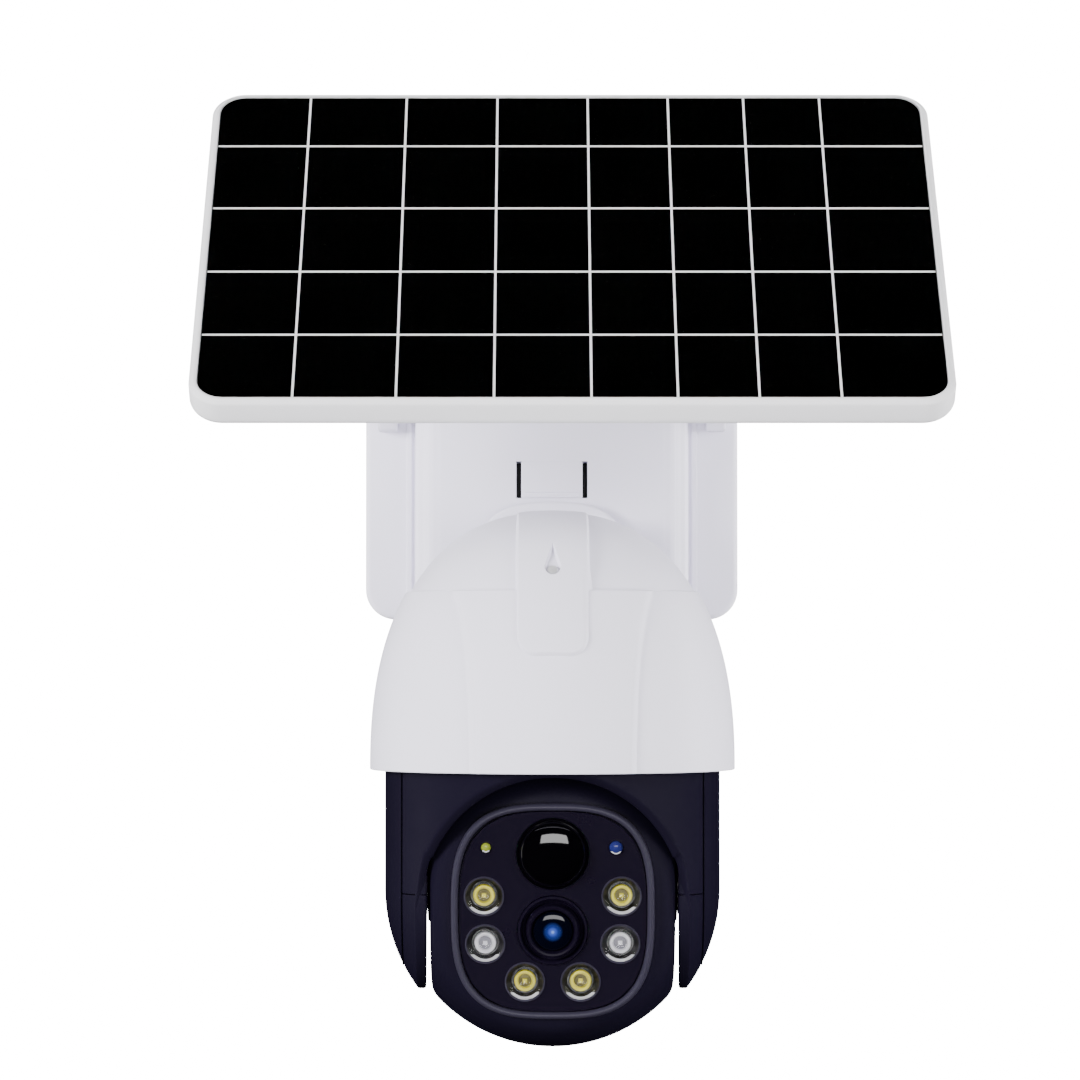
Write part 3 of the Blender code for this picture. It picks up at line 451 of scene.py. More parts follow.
def make_paints():
    look = colours()
    grain = sizes().grain
    PAINTS.update({
        "white": moulded("white_plastic_skin", look.white, 0.42, grain, 2600, 0.012, 0.04,
                         Specular_IOR_Level=0.35),
        # The same white plastic made brighter: painted light against the shade that the panel above casts
        # on the box.
        "box_white": moulded("box_plastic_skin", tuple(c * BOX_PAINTED_LIGHT for c in look.white), 0.45, grain,
                             2400, 0.012, Specular_IOR_Level=0.35),
        "frame_white": moulded("panel_frame_skin", (0.72, 0.715, 0.74), 0.42, grain, 2600, 0.012),
        "black": moulded("black_plastic_skin", look.black, 0.46, grain, 3000, 0.10, 0.05,
                         Specular_IOR_Level=0.15),
        "face": moulded("face_plate_skin", (0.0034, 0.0022, 0.0068), 0.3, 0.4 * grain, 2000, 0.08, 0.03,
                        Specular_IOR_Level=0.2),
        "trim": moulded("bezel_skin", look.trim, 0.34, grain, 2600, 0.08),
        "cells": moulded("solar_cell_skin", (0.0003, 0.0003, 0.0004), 0.6, 0.5 * grain, 900, 0.4, 0.08,
                         Specular_IOR_Level=0.0),
        "lines": moulded("cell_line_skin", (0.95, 0.96, 0.96), 0.5, 0.3 * grain, 900, 0.03),
        "glass": principled("panel_glass_skin", (1, 1, 1), 0.05, Transmission_Weight=1.0, IOR=1.01,
                            Specular_IOR_Level=0.0),
        "dome": moulded("motion_dome_skin", (0.0006, 0.0005, 0.0009), 0.08, 0.15 * grain, 1500, 0.1, 0.02,
                        Coat_Weight=1.0, Coat_Roughness=0.05, Coat_IOR=1.9),
        "cover": principled("lamp_cover_skin", (1, 1, 1), 0.03, Transmission_Weight=1.0, IOR=1.15),
        # Painted reflection: the pale colour of the moons at the bottom of the lamps and the small lights,
        # standing in for light reflected off each cup's lower wall.
        "glint": moulded("bright_moon_skin", (0.34, 0.34, 0.36), 0.3, 0.2 * grain, 1500, 0.35),
        "steel": brushed("zinc_steel_skin", (0.62, 0.62, 0.63), 0.32),
        "chrome": brushed("reflector_skin", (0.80, 0.80, 0.82), 0.14),
        "board": moulded("circuit_board_skin", (0.015, 0.12, 0.05), 0.45, 2 * grain, 700, 0.2),
        "gear": moulded("acetal_gear_skin", (0.80, 0.78, 0.70), 0.42, grain, 1500, 0.03),
        "wrap": moulded("cell_wrap_skin", (0.03, 0.16, 0.38), 0.3, grain, 600, 0.06),
        "rubber": moulded("rubber_skin", (0.02, 0.02, 0.02), 0.75, 2 * grain, 1800, 0.1),
        "warm": moulded("warm_phosphor_skin", look.warm, 0.45, grain, 2200, 0.08),
        "warm_deep": moulded("warm_phosphor_deep_skin", (0.07, 0.058, 0.008), 0.6, grain, 2200, 0.1),
        "cool": moulded("white_phosphor_skin", look.cool, 0.45, grain, 2200, 0.05),
        "cool_deep": moulded("white_phosphor_deep_skin", (0.11, 0.105, 0.13), 0.5, grain, 2200, 0.08),
        "status": moulded("status_light_skin", (0.16, 0.19, 0.02), 0.15, 0.2 * grain, 1500, 0.1,
                          Coat_Weight=1.0),
        "sensor": moulded("light_sensor_skin", (0.012, 0.015, 0.09), 0.1, 0.2 * grain, 1500, 0.1,
                          Coat_Weight=1.0),
        "dark": moulded("deep_black_skin", (0.0015, 0.0014, 0.002), 0.45, grain, 2600, 0.1),
    })
    glass_centre = on_head(np.array([0.0, -FACE_DEPTH, -6.2 * MM]))
    PAINTS["iris"] = rings_material(
        "lens_coating_skin",
        ((0.0, (0.12, 0.20, 0.50)), (0.12, (0.025, 0.05, 0.25)), (0.28, (0.006, 0.014, 0.085)),
         (0.5, (0.0006, 0.0008, 0.003))),
        tuple(glass_centre), HEAD_DROOP, 7 * MM, 0.08)


CAD_PAINT = {
    "steel": "steel", "circuit_board": "board", "gear_plastic": "gear", "cell_wrap": "wrap",
    "rubber": "rubber", "lamp_reflector": "chrome", "white_plastic": "white", "black_plastic": "black",
    "grey_trim": "trim", "panel_cells": "cells", "clear_glass": "glass", "dark_lens": "dome",
    "status_green": "status", "sensor_blue": "sensor",
}


# ---------------------------------------------------------------- battery box

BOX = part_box("box_front")
BOX_HALF = (BOX[1][0], BOX[1][2])
BOX_CORNER = 10.7 * MM
WING_FACE = 20.0 * MM
BOX_FACE = -BOX[0][1]
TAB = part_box("release_tab")
SLOT_OUTER = TAB[1][0] + 1.75 * MM


def box_outline(inset):
    return rounded(*BOX_HALF, BOX_CORNER, inset, steps=14)


def raised_plan():
    """Half plan (x, depth) of the raised middle: a groove by the wing, a stepped round shoulder, a flat."""
    side, flat, deep = 48.6 * MM, 39.0 * MM, 9.0 * MM
    angle = arc(0, 90, 20)
    x = flat + (side - flat) * np.cos(angle)
    y = BOX_FACE - deep * (1 - np.sin(angle))
    ribs = 0.28 * MM * np.sign(np.sin(angle * 9)) * (np.sin(2 * angle) > 0.25)
    plan = [(side, WING_FACE - 3 * MM), (side, BOX_FACE - deep - 1.5 * MM)]
    plan += list(zip(x - ribs, y - 0.4 * ribs))
    edges = (SLOT_OUTER, TAB[1][0])
    plan += [(edge + shift, BOX_FACE) for edge in edges for shift in (0.02 * MM, -0.02 * MM)]
    plan += [(4 * MM, BOX_FACE)]
    return np.array(plan)


def raised_middle():
    """Plan carried up the box, pushed in where the window of the release tab is."""
    half = raised_plan()
    plan = np.concatenate([half, half[::-1] * [-1, 1]])
    back = np.stack([np.linspace(-48.6, 48.6, 12) * MM, np.full(12, WING_FACE - 3 * MM)], axis=-1)[1:-1]
    plan = np.concatenate([plan, back])
    height = BOX_HALF[1] - 0.5 * MM
    edge = 1.6 * MM
    ends = [(edge * (1 - math.cos(a)), edge * (1 - math.sin(a))) for a in arc(0, 90, 5)]
    window = np.array([TAB[0][2] - 0.05 * MM, TAB[1][2] + 0.15 * MM])
    near = np.sort(np.concatenate([window - 0.02 * MM, window + 0.02 * MM]))
    stations = np.concatenate([np.linspace(-height + edge, near[0], 14)[:-1], near[:1],
                               np.linspace(near[1], near[2], 22), near[3:],
                               np.linspace(near[3], height - edge, 14)[1:]])
    rows = []
    for inset, drop in reversed(ends):
        rows.append((inset, -height + drop))
    rows += [(0.0, z) for z in stations]
    rows += [(inset, height - drop) for inset, drop in ends]
    grid = []
    for inset, z in rows:
        flat = plan.copy()
        scale = 1 - inset / (48.6 * MM)
        flat[:, 0] *= scale
        stand = flat[:, 1] - WING_FACE
        flat[:, 1] = np.where(stand > 0, WING_FACE + stand * (1 - inset / (14 * MM)), flat[:, 1])
        inside = (np.abs(flat[:, 0]) < SLOT_OUTER) & (flat[:, 1] > BOX_FACE - 1 * MM)
        if window[0] < z < window[1]:
            flat[:, 1] -= np.where(inside, 7 * MM, 0)
        grid.append(np.stack([flat[:, 0], -flat[:, 1], np.full(len(flat), z)], axis=-1))
    return skin(np.array(grid))


def box_pieces():
    low = -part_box("box_front")[1][1]
    profile = soft_slab(low, WING_FACE, 2.2 * MM, 6)
    profile[:7] = [(0.6 * MM, low), (0, low + 0.6 * MM)]
    wings = carried(box_outline, profile, "y")
    groove = []
    for side in (-1, 1):
        lip = lambda inset, side=side: rounded(1.1 * MM, 49.5 * MM, 1.0 * MM, inset,
                                               (side * 50.9 * MM, 0), 4)
        groove.append(carried(lip, soft_slab(WING_FACE - 1 * MM, WING_FACE + 0.9 * MM, 0.5 * MM), "y"))
    piece("box_front_shell", [wings, raised_middle(), *groove], "root", paint("box_white"),
          ("box_front",), 40)
    middle, tall = (TAB[0][2] + TAB[1][2]) / 2, (TAB[1][2] - TAB[0][2]) / 2 - 0.2 * MM
    # A deep black sheet behind the tab's window: painted shade for the dark inside of the box seen through
    # the slots.
    inside = carried(lambda inset: rounded(SLOT_OUTER - 0.1 * MM, tall, 0.5 * MM, inset, (0, middle), 3),
                     soft_slab(BOX_FACE - 6.9 * MM, BOX_FACE - 6.3 * MM, 0.1 * MM), "y")
    piece("tab_window_inside", inside, "root", paint("dark"))
    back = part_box("box_back")
    rear = carried(box_outline, soft_slab(-back[1][1], -back[0][1], 1.2 * MM), "y")
    piece("box_back_shell", rear, "root", paint("box_white"), ("box_back",))


def release_tab():
    """A thin slab whose lower end thickens into a lip with two steps."""
    half = TAB[1][0]
    body = carried(lambda inset: rounded(half, (TAB[1][2] - TAB[0][2]) / 2 + 0.1 * MM, 0.4 * MM, inset,
                                         (0, (TAB[1][2] + TAB[0][2]) / 2 + 0.1 * MM), 3),
                   soft_slab(BOX_FACE - 2 * MM, BOX_FACE, 0.15 * MM), "y")
    steps = []
    for low, high, stand in ((0.2, 1.1, 0.35), (1.9, 2.5, 0.3)):
        middle = TAB[0][2] + (low + high) / 2 * MM
        steps.append(carried(
            lambda inset, m=middle, h=(high - low) / 2 * MM: rounded(9.6 * MM, h, 0.3 * MM, inset,
                                                                     (0, m), 3),
            soft_slab(BOX_FACE - 0.5 * MM, BOX_FACE + stand * MM, 0.25 * MM), "y"))
    piece("release_tab_blade", [body, *steps], "release_tab", paint("box_white"),
          ("release_tab",))


def collar():
    """A plate with an arched top: a superellipse above, a rectangle below."""
    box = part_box("neck_collar")

    def outline(inset):
        angle = around(96)
        c, s = np.cos(angle), np.sin(angle)
        power = np.where(s > 0, 2.6, 6.0)
        radius = (np.abs(c) ** power + np.abs(s) ** power) ** (-1 / power)
        half, rise = (box[1][0] - inset), ((box[1][2] - box[0][2]) / 2 - inset)
        return np.stack([half * radius * c, (box[1][2] + box[0][2]) / 2 + rise * radius * s], axis=-1)

    piece("neck_collar_plate", carried(outline, soft_slab(-box[1][1], -box[0][1], 1.3 * MM), "y"), "root",
          paint("box_white"), ("neck_collar",))


def brackets():
    """Each arm is its side outline pushed across, with round edges and a raised boss."""
    hinge = HINGE[1:]
    wing = -WING_FACE - 0.3 * MM
    head = [(hinge[0] + 9 * MM * math.cos(a), hinge[1] + 9 * MM * math.sin(a)) for a in arc(60, 215, 24)]
    foot = [(wing - 8 * MM, 17.5 * MM), (wing - 6.5 * MM, 15.6 * MM), (wing - 5 * MM, 14.8 * MM)]
    flat = even(np.array([(wing, 50 * MM), *head, *foot, (wing, 14.8 * MM)]), 200)
    for side, sign in (("left", -1), ("right", 1)):
        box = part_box("bracket_" + side)
        arm = carried(lambda inset: shrunk(flat, inset), soft_slab(box[0][0], box[1][0], 1.1 * MM), "x")
        rib = even(0.72 * (flat - flat.mean(axis=0)) + flat.mean(axis=0), 160)
        outer = box[1][0] if sign > 0 else box[0][0]
        low, high = sorted((outer - sign * 1 * MM, outer + sign * 0.25 * MM))
        pad = carried(lambda inset: shrunk(rib, inset), soft_slab(low, high, 0.2 * MM), "x")
        piece("bracket_arm_" + side, [arm, pad], "root", paint("white"),
              ("bracket_" + side,))
        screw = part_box("thumb_screw_" + side)
        thumb_screw(side, sign, screw)


def thumb_screw(side, sign, box):
    """A knob whose radius waves round its edge, on a plain shank."""
    outer = max(abs(box[0][0]), abs(box[1][0]))
    inner = min(abs(box[0][0]), abs(box[1][0]))
    profile = [(0, inner), (2.1, inner), (2.5, inner + 0.5 * MM), (2.5, 62.3 * MM), (6.3, 62.3 * MM),
               (7.0, 63.0 * MM), (7.0, 67.2 * MM), (6.4, 68.2 * MM), (5.0, outer), (4.2, outer - 0.6 * MM),
               (0, outer - 0.6 * MM)]
    angle = around(180)
    radius, height = np.array(profile).T
    wave = 1 + 0.045 * np.sin(18 * angle)[None, :] * step_up(radius[:, None] - 5.6, 1.0)
    radius = np.maximum(radius[:, None] * MM * wave, 1e-7)
    rows = np.stack([sign * height[:, None] + 0 * radius, HINGE[1] + radius * np.cos(angle),
                     HINGE[2] + radius * np.sin(angle)], axis=-1)
    piece("thumb_screw_knob_" + side, skin(rows), "root", paint("black"),
          ("thumb_screw_" + side,))


# ---------------------------------------------------------------- hood

def hood_radius(z, grow=0.0):
    """Radius of the hood at a height: R (1 - t^n)^(1/n), with t the share of its rise."""
    share = np.clip((z - HOOD_RIM_Z) / (HOOD_RISE + grow), 0, 1)
    return (HOOD_RADIUS + grow) * (1 - share ** HOOD_POWER) ** (1 / HOOD_POWER)


def hood_point(x, angle, grow):
    """Where a ray in the plane of that x, at an angle above the front, meets the grown hood.

    The ray starts on the rim's plane under the axis. The point solves
    (sqrt(x^2 + y^2) / R)^n + (z / H)^n = 1 by halving, for the whole grid at once.
    """
    x, angle, grow = np.broadcast_arrays(x, angle, grow)
    low, high = np.zeros(x.shape), np.full(x.shape, 120 * MM)
    for _ in range(44):
        reach = (low + high) / 2
        y, z = reach * np.cos(angle), reach * np.sin(angle)
        size = (np.hypot(x, y) / (HOOD_RADIUS + grow)) ** HOOD_POWER
        size = size + (np.abs(z) / (HOOD_RISE + grow)) ** HOOD_POWER
        low, high = np.where(size < 1, reach, low), np.where(size < 1, high, reach)
    return np.stack([x, PAN_Y - reach * np.cos(angle), HOOD_RIM_Z + reach * np.sin(angle)], axis=-1)


def hood_cap_shell():
    """The dome over the seam: slices at constant x, each an arc from the front seam to the back."""
    seam = HOOD_SEAM_Z - 0.4 * MM
    walls = []
    for grow in (-CAP_STEP, -CAP_STEP - HOOD_WALL):
        rim = float(hood_radius(seam, grow))
        share = np.sin(np.linspace(-np.pi / 2, np.pi / 2, 97))
        x = (rim - 1e-6) * share
        start = np.arctan2(seam - HOOD_RIM_Z, np.sqrt(rim ** 2 - x ** 2))
        t = np.linspace(0, 1, 121)[:, None]
        walls.append(hood_point(x[None, :], start + t * (np.pi - 2 * start), grow))
    return closed_sheet(*walls)


def closed_sheet(outer, inner):
    """A thick sheet from two grids of the same shape, joined round their edge."""
    count, across = outer.shape[:2]
    top = np.arange(count * across).reshape(count, across)
    low = top + count * across
    verts = np.concatenate([outer.reshape(-1, 3), inner.reshape(-1, 3)])
    faces = [np.stack([top[:-1, :-1], top[:-1, 1:], top[1:, 1:], top[1:, :-1]], -1).reshape(-1, 4),
             np.stack([low[:-1, :-1], low[1:, :-1], low[1:, 1:], low[:-1, 1:]], -1).reshape(-1, 4)]
    for a, b in ((top[0], low[0]), (top[-1][::-1], low[-1][::-1]), (top[::-1, 0], low[::-1, 0]),
                 (top[:, -1], low[:, -1])):
        faces.append(np.stack([a[1:], a[:-1], b[:-1], b[1:]], -1))
    return outward(verts, np.concatenate(faces), np.zeros((0, 3), dtype=int))


TONGUE_HALF = 11.8 * MM
ARC_SCALE = 62 * MM                  # a length along the tongue is its angle times this


def box_distance(u, v, half_u, half_v, radius):
    """Distance outside (positive) or inside (negative) a rectangle with round corners."""
    du, dv = np.abs(u) - half_u + radius, np.abs(v) - half_v + radius
    return np.hypot(np.maximum(du, 0), np.maximum(dv, 0)) + np.minimum(np.maximum(du, dv), 0) - radius


def drop_depth(x, along):
    """1 inside a drop: a half circle below and straight sides that meet in a point above."""
    radius, point = 2.45 * MM, 6.6 * MM
    inside = np.where(along < 0, radius - np.hypot(x, along), radius * (1 - along / point) - np.abs(x))
    return step_up(inside, 0.6 * MM)


def tongue():
    """The strip from the front, over the top and down to the neck, with a drop-shaped recess.

    Its left edge is a short step. Its right edge is a wide bevel near and under the seam.
    """
    end = math.atan2(-65 * MM - HOOD_RIM_Z, float(hood_radius(-65 * MM)))
    seam = math.atan2(HOOD_SEAM_Z - HOOD_RIM_Z, float(hood_radius(HOOD_SEAM_Z)))
    drop = math.atan2(-36.2 * MM - HOOD_RIM_Z, float(hood_radius(-36.2 * MM)))
    x = np.linspace(-13.4 * MM, 14.8 * MM, 129)[None, :]
    stretches = ((end - 0.012, end + 0.14, 60), (end + 0.144, drop - 0.06, 30),
                 (drop - 0.058, drop + 0.13, 90), (drop + 0.14, 2.6, 60))
    angle = np.concatenate([np.linspace(*stretch) for stretch in stretches])
    angle = angle[:, None]
    length = (angle - end) * ARC_SCALE
    edge = -box_distance(x, length - 80 * MM, TONGUE_HALF, 80 * MM, 6.5 * MM)
    beside_seam = np.exp(-((angle - seam + 0.06) / 0.16) ** 4)
    width = 1.2 * MM + 3.0 * MM * step_up(x - 7 * MM, 4 * MM) * beside_seam
    stand = sizes().tongue_rise - 1.8 * MM * step_up(angle - drop - 0.3, 0.4)
    rise = -1.4 * MM + (stand + 1.4 * MM) * step_up(edge, width)
    rise = rise - 1.3 * MM * drop_depth(x, (angle - drop) * ARC_SCALE)
    top = hood_point(x, angle, rise)
    bottom = hood_point(x, angle, -3.0 * MM)
    return closed_sheet(top, bottom)


def hood_pieces():
    centre = at(0, PAN_Y, 0)
    neck_back = -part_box("hood_cap")[1][1]
    neck = carried(lambda inset: rounded(20.5 * MM, 13.2 * MM, 9 * MM, inset, (0, -29.5 * MM), 10),
                   soft_slab(neck_back, 72 * MM, 0.6 * MM), "y")
    piece("hood_upper", [hood_cap_shell(), tongue(), neck], "root", paint("white"),
          ("hood_cap",), 30)

    angle = around(HOOD_FACETS)
    full = np.ones_like(angle)
    top, low = HOOD_SEAM_Z, HOOD_RIM_Z
    z = np.linspace(low + 0.5 * MM, top - 0.5 * MM, 40)[:, None]
    outer = skirt_radius(angle, z)
    edge = 0.5 * MM
    rim = [(skirt_radius(angle, low) - edge * (1 - math.cos(a)), low + edge * (1 - math.sin(a)))
           for a in arc(90, 0, 4)]
    seam = [(skirt_radius(angle, top) - edge * (1 - math.cos(a)), top - edge * (1 - math.sin(a)))
            for a in arc(0, 90, 4)]
    wall = [(radius, height * full) for radius, height in rim]
    wall += [(radius, height[0] * full) for radius, height in zip(outer, z)]
    wall += [(radius, height * full) for radius, height in seam]
    inside = np.linspace(top, low, 14)
    wall += [((float(hood_radius(h)) - HOOD_WALL) * full, h * full) for h in inside]
    rows = np.stack([np.stack([r * np.sin(angle), -r * np.cos(angle), h], axis=-1) for r, h in wall])
    piece("hood_lower", skin(centre(rows), loop=True), "root", paint("white"),
          ("hood_skirt",), 30)


def skirt_radius(angle, z):
    """The hood's radius, with a soft valley down each side of the front.

    A valley's distance from the middle falls from 34.2 mm at the seam to 27.8 mm at the rim, as
    27.6 + 6.6 exp(-3.4 t). Its depth falls off as exp(-d / 7 mm) outwards and as
    exp(-d / 1.7 mm) towards the middle. A fainter line runs beside its lower part.
    """
    radius = hood_radius(z)
    x = np.abs(radius * np.sin(angle))
    down = np.clip((HOOD_SEAM_Z - z) / (HOOD_SEAM_Z - HOOD_RIM_Z), 0, 1)
    crease = (27.6 + 6.6 * np.exp(-3.4 * down)) * MM
    front = step_up(np.cos(angle) - 0.35, 0.3)
    away = np.hypot(x - crease, 0.25 * MM)
    valley = 1.6 * MM * np.exp(-away / np.where(x > crease, 7.0 * MM, 1.7 * MM))
    line = 0.2 * MM * np.exp(-((x - crease + 2.7 * MM) / (0.4 * MM)) ** 2) * step_up(down - 0.35, 0.3)
    return radius - (valley + line) * front


# ---------------------------------------------------------------- yoke

def crown():
    """A drum whose lower edge rises in an arch at the front and the back.

    Column a of the grid stands at angle a round the pan axis; row by row the radius and height
    run from the crown's middle, over its rim, down the outside, round the arch's chamfer and
    back up the inside.
    """
    angle = around(CROWN_FACETS)
    x = np.abs(YOKE_RADIUS * np.sin(angle))
    arch = -150.2 * MM + np.sqrt(np.maximum((45.5 * MM) ** 2 - x ** 2, 0))
    beyond = np.clip((x - 41.5 * MM) / (3.9 * MM), 0, 1)
    arch = np.where(x < 41.5 * MM, arch, -131.5 * MM - 18 * MM * beyond ** 2)
    arch = np.where(x < 45.45 * MM, arch, HOOD_RIM_Z + 2 * MM)
    top = CROWN_TOP
    full = np.ones_like(angle)
    rows = [(30 * MM * full, top * full)]
    edge = 3 * MM
    for a in arc(90, 0, 6):
        radius, height = YOKE_RADIUS - edge + edge * math.cos(a), top - edge + edge * math.sin(a)
        rows.append((radius * full, height * full))
    for share in np.linspace(0.04, 0.96, 14):
        rows.append((YOKE_RADIUS * full, (top - edge) + share * (arch + 2.6 * MM - top + edge)))
    outer = [(0.0, 2.4), (0.12, 1.9), (0.5, 1.35), (1.1, 0.75), (1.7, 0.25), (2.1, 0.0), (2.5, 0.05)]
    rows += [((YOKE_RADIUS - inset * MM) * full, arch + rise * MM) for inset, rise in outer]
    inner = 54.1 * MM
    for share in np.linspace(0.06, 1, 10):
        height = arch + share * (-97 * MM - arch)
        rows.append((inner * full, height))
    rows.append((38 * MM * full, (top - 3.4 * MM) * full))
    rows.append((30 * MM * full, (top - 2.6 * MM) * full))
    grid = np.stack([np.stack([r * np.sin(angle), PAN_Y - r * np.cos(angle), h], axis=-1) for r, h in rows])
    return skin(grid)


def stadium(radius, top, steps=40):
    """Outline (y, z) of an arm seen from its side: straight up from a half circle on the pivot."""
    def outline(inset):
        small = max(radius - inset, 1e-6)
        angle = arc(180, 360, steps)
        bend = np.stack([small * np.cos(angle), small * np.sin(angle)], axis=-1)
        rise = np.linspace(0, 1, 12)[1:, None]
        up = bend[-1] + rise * (np.array([small, top]) - bend[-1])
        over = np.linspace(1, -1, 9)[1:-1, None] * [small, 0] + [0, top]
        down = bend[0] + rise[::-1] * (np.array([-small, top]) - bend[0])
        return np.concatenate([bend, up, over, down])
    return outline


def arm_profile(low_x, high_x, reach, edge):
    """Profile of the slice of the yoke's round body between two planes, as wide as the reach allows.

    Its outside follows x = sqrt(R^2 - d^2), with d the distance from the arm's middle line.
    Without a high plane it closes in a narrow strip over the middle line.
    """
    radius = YOKE_RADIUS - 0.05 * MM
    profile = [(reach - 0.3 * MM, low_x), (edge, low_x)]
    profile += [(edge * (1 - math.sin(a)), low_x + edge * (1 - math.cos(a))) for a in arc(0, 90, 5)]
    shoulder = math.sqrt(radius ** 2 - reach ** 2)
    if shoulder > low_x + 2 * edge:
        profile += [(0.0, shoulder - 0.6 * edge)]
    limit = 0.5 * MM if high_x is None else math.sqrt(max(radius ** 2 - high_x ** 2, 0))
    for share in np.linspace(0.02, 1, 16):
        distance = reach + share * (limit - reach)
        profile.append((reach - distance, math.sqrt(radius ** 2 - distance ** 2)))
    if high_x is not None:
        profile += [(reach - limit + 0.4 * MM, high_x - 0.25 * MM), (reach - 0.3 * MM, high_x - 0.25 * MM)]
    return profile


def yoke_pieces():
    outline = stadium(ARM_END, HOOD_RIM_Z + 2 * MM - PIVOT[2])
    seam = -0.4 * MM
    shells = [crown()]
    lower = []
    profile = arm_profile(ARM_INNER, ARM_OUTER, ARM_END, 0.9 * MM)
    for sign in (-1, 1):
        place = at(0, PAN_Y, PIVOT[2])
        rows = np.stack([ALONG["x"](*outline(inset).T, np.full(len(outline(inset)), x))
                         for inset, x in profile])
        rows = opened(rows) * [sign, 1, 1]
        shells.append(skin(place(split_rows(rows, seam, True))))
        lower.append(skin(place(split_rows(rows, seam - 0.35 * MM, False))))
    piece("yoke_body", shells, "yoke", paint("black"), ("yoke",), 34)
    for side, shell in zip(("left", "right"), lower):
        piece("arm_cap_shell_" + side, shell, "yoke", paint("black"),
              ("arm_cap_" + side,), 34)
    reach = math.sqrt(YOKE_RADIUS ** 2 - COVER_INNER ** 2) - 0.1 * MM
    outline = stadium(reach, HOOD_RIM_Z + 3 * MM - PIVOT[2])
    profile = arm_profile(COVER_INNER, None, reach, 0.35 * MM)
    for side, sign in (("left", -1), ("right", 1)):
        rows = np.stack([ALONG["x"](*outline(inset).T, np.full(len(outline(inset)), sign * x))
                         for inset, x in profile])
        piece("arm_cover_shell_" + side, skin(at(0, PAN_Y, PIVOT[2])(rows)), "yoke",
              paint("black"), ("arm_cover_" + side,), 34)


def opened(rows):
    """An arm's inner face turned so that it stands further out towards the back."""
    share = np.clip((ARM_INNER + 3 * MM - rows[..., 0]) / (3 * MM), 0, 1)
    turned_out = rows.copy()
    turned_out[..., 0] += share * (0.035 * (rows[..., 1] + ARM_END) - 0.9 * MM)
    return turned_out


def split_rows(rows, level, upper):
    """The part of an arm above or below a level: points past it are laid on the level."""
    cut = rows.copy()
    cut[..., 2] = np.maximum(rows[..., 2], level) if upper else np.minimum(rows[..., 2], level)
    return cut


# ---------------------------------------------------------------- head

def head_reach(direction):
    """How far the head's surface is from the pivot in a direction of length 1.

    The least of the distances to the ball, the two flat sides and the flat face, blended as
    (sum of d^-p)^(-1/p), so that the edges between them come out round: p is 60 between ball
    and sides, and 26 with the face.
    """
    x, y = np.abs(direction[..., 0]), np.maximum(-direction[..., 1], 0)
    ball = np.full(x.shape, HEAD_RADIUS)
    side = HEAD_SIDE / np.maximum(x, 1e-6)
    face = (FACE_DEPTH - FACE_SUNK) / np.maximum(y, 1e-6)
    total = ball ** -60.0 + side ** -60.0
    return (total ** (26 / 60) + face ** -26.0) ** (-1 / 26)


def head_shell(start, end, steps, inner_wall):
    """The head between two directions: a polar grid about the face's axis, outside and inside."""
    angle = around(HEAD_FACETS)
    flat_level = FACE_DEPTH - FACE_SUNK
    opening = np.arctan2(ring_reach(angle, 3.2 * MM), flat_level)
    first = opening if start is None else np.full_like(angle, start)
    rows = []
    for share in np.linspace(0, 1, steps):
        polar = first + share * (end - first)
        out = np.sin(polar)
        direction = np.stack([out * np.cos(angle), -np.cos(polar), out * np.sin(angle)], -1)
        rows.append(direction * head_reach(direction)[..., None])
    outer = np.array(rows)
    inner = outer[::-1] * inner_wall
    return skin(on_head(np.concatenate([outer, inner])), loop=True)


def ring_reach(angle, inset):
    """Distance from the face's middle to its outline, a superellipse, at an angle round it."""
    across, up = np.cos(angle) / (FACE_HALF[0] - inset), np.sin(angle) / (FACE_HALF[1] - inset)
    return (np.abs(across) ** FACE_POWER + np.abs(up) ** FACE_POWER) ** (-1 / FACE_POWER)


def head_pieces():
    split = math.radians(106)
    piece("head_front", head_shell(None, split, 80, 0.955), "head", paint("black"),
          ("head_shell_front",), 40)
    gap = 0.008
    piece("head_rear", head_shell(split + gap, math.pi - 0.0005, 50, 0.955), "head",
          paint("black"), ("head_shell_rear",), 40)
    bosses = []
    for sign in (-1, 1):
        low, high = sorted((sign * (HEAD_SIDE - 0.5 * MM), sign * 42.0 * MM))
        profile = [(0, low), (11.2 * MM, low), (11.4 * MM, (low + high) / 2), (11.1 * MM, high), (0, high)]
        bosses.append(turned(profile, "x", on_head))
    piece("head_side_bosses", bosses, "head", paint("black"))


def on_face(x, up):
    """A place on the face: heights run out of it, square to the plate."""
    return at(x, 0, up, on_head)


def ring_outline(inset):
    angle = around(240)
    reach = ring_reach(angle, 0) * np.ones(240)
    return shrunk(np.stack([reach * np.cos(angle), reach * np.sin(angle)], axis=-1), inset)


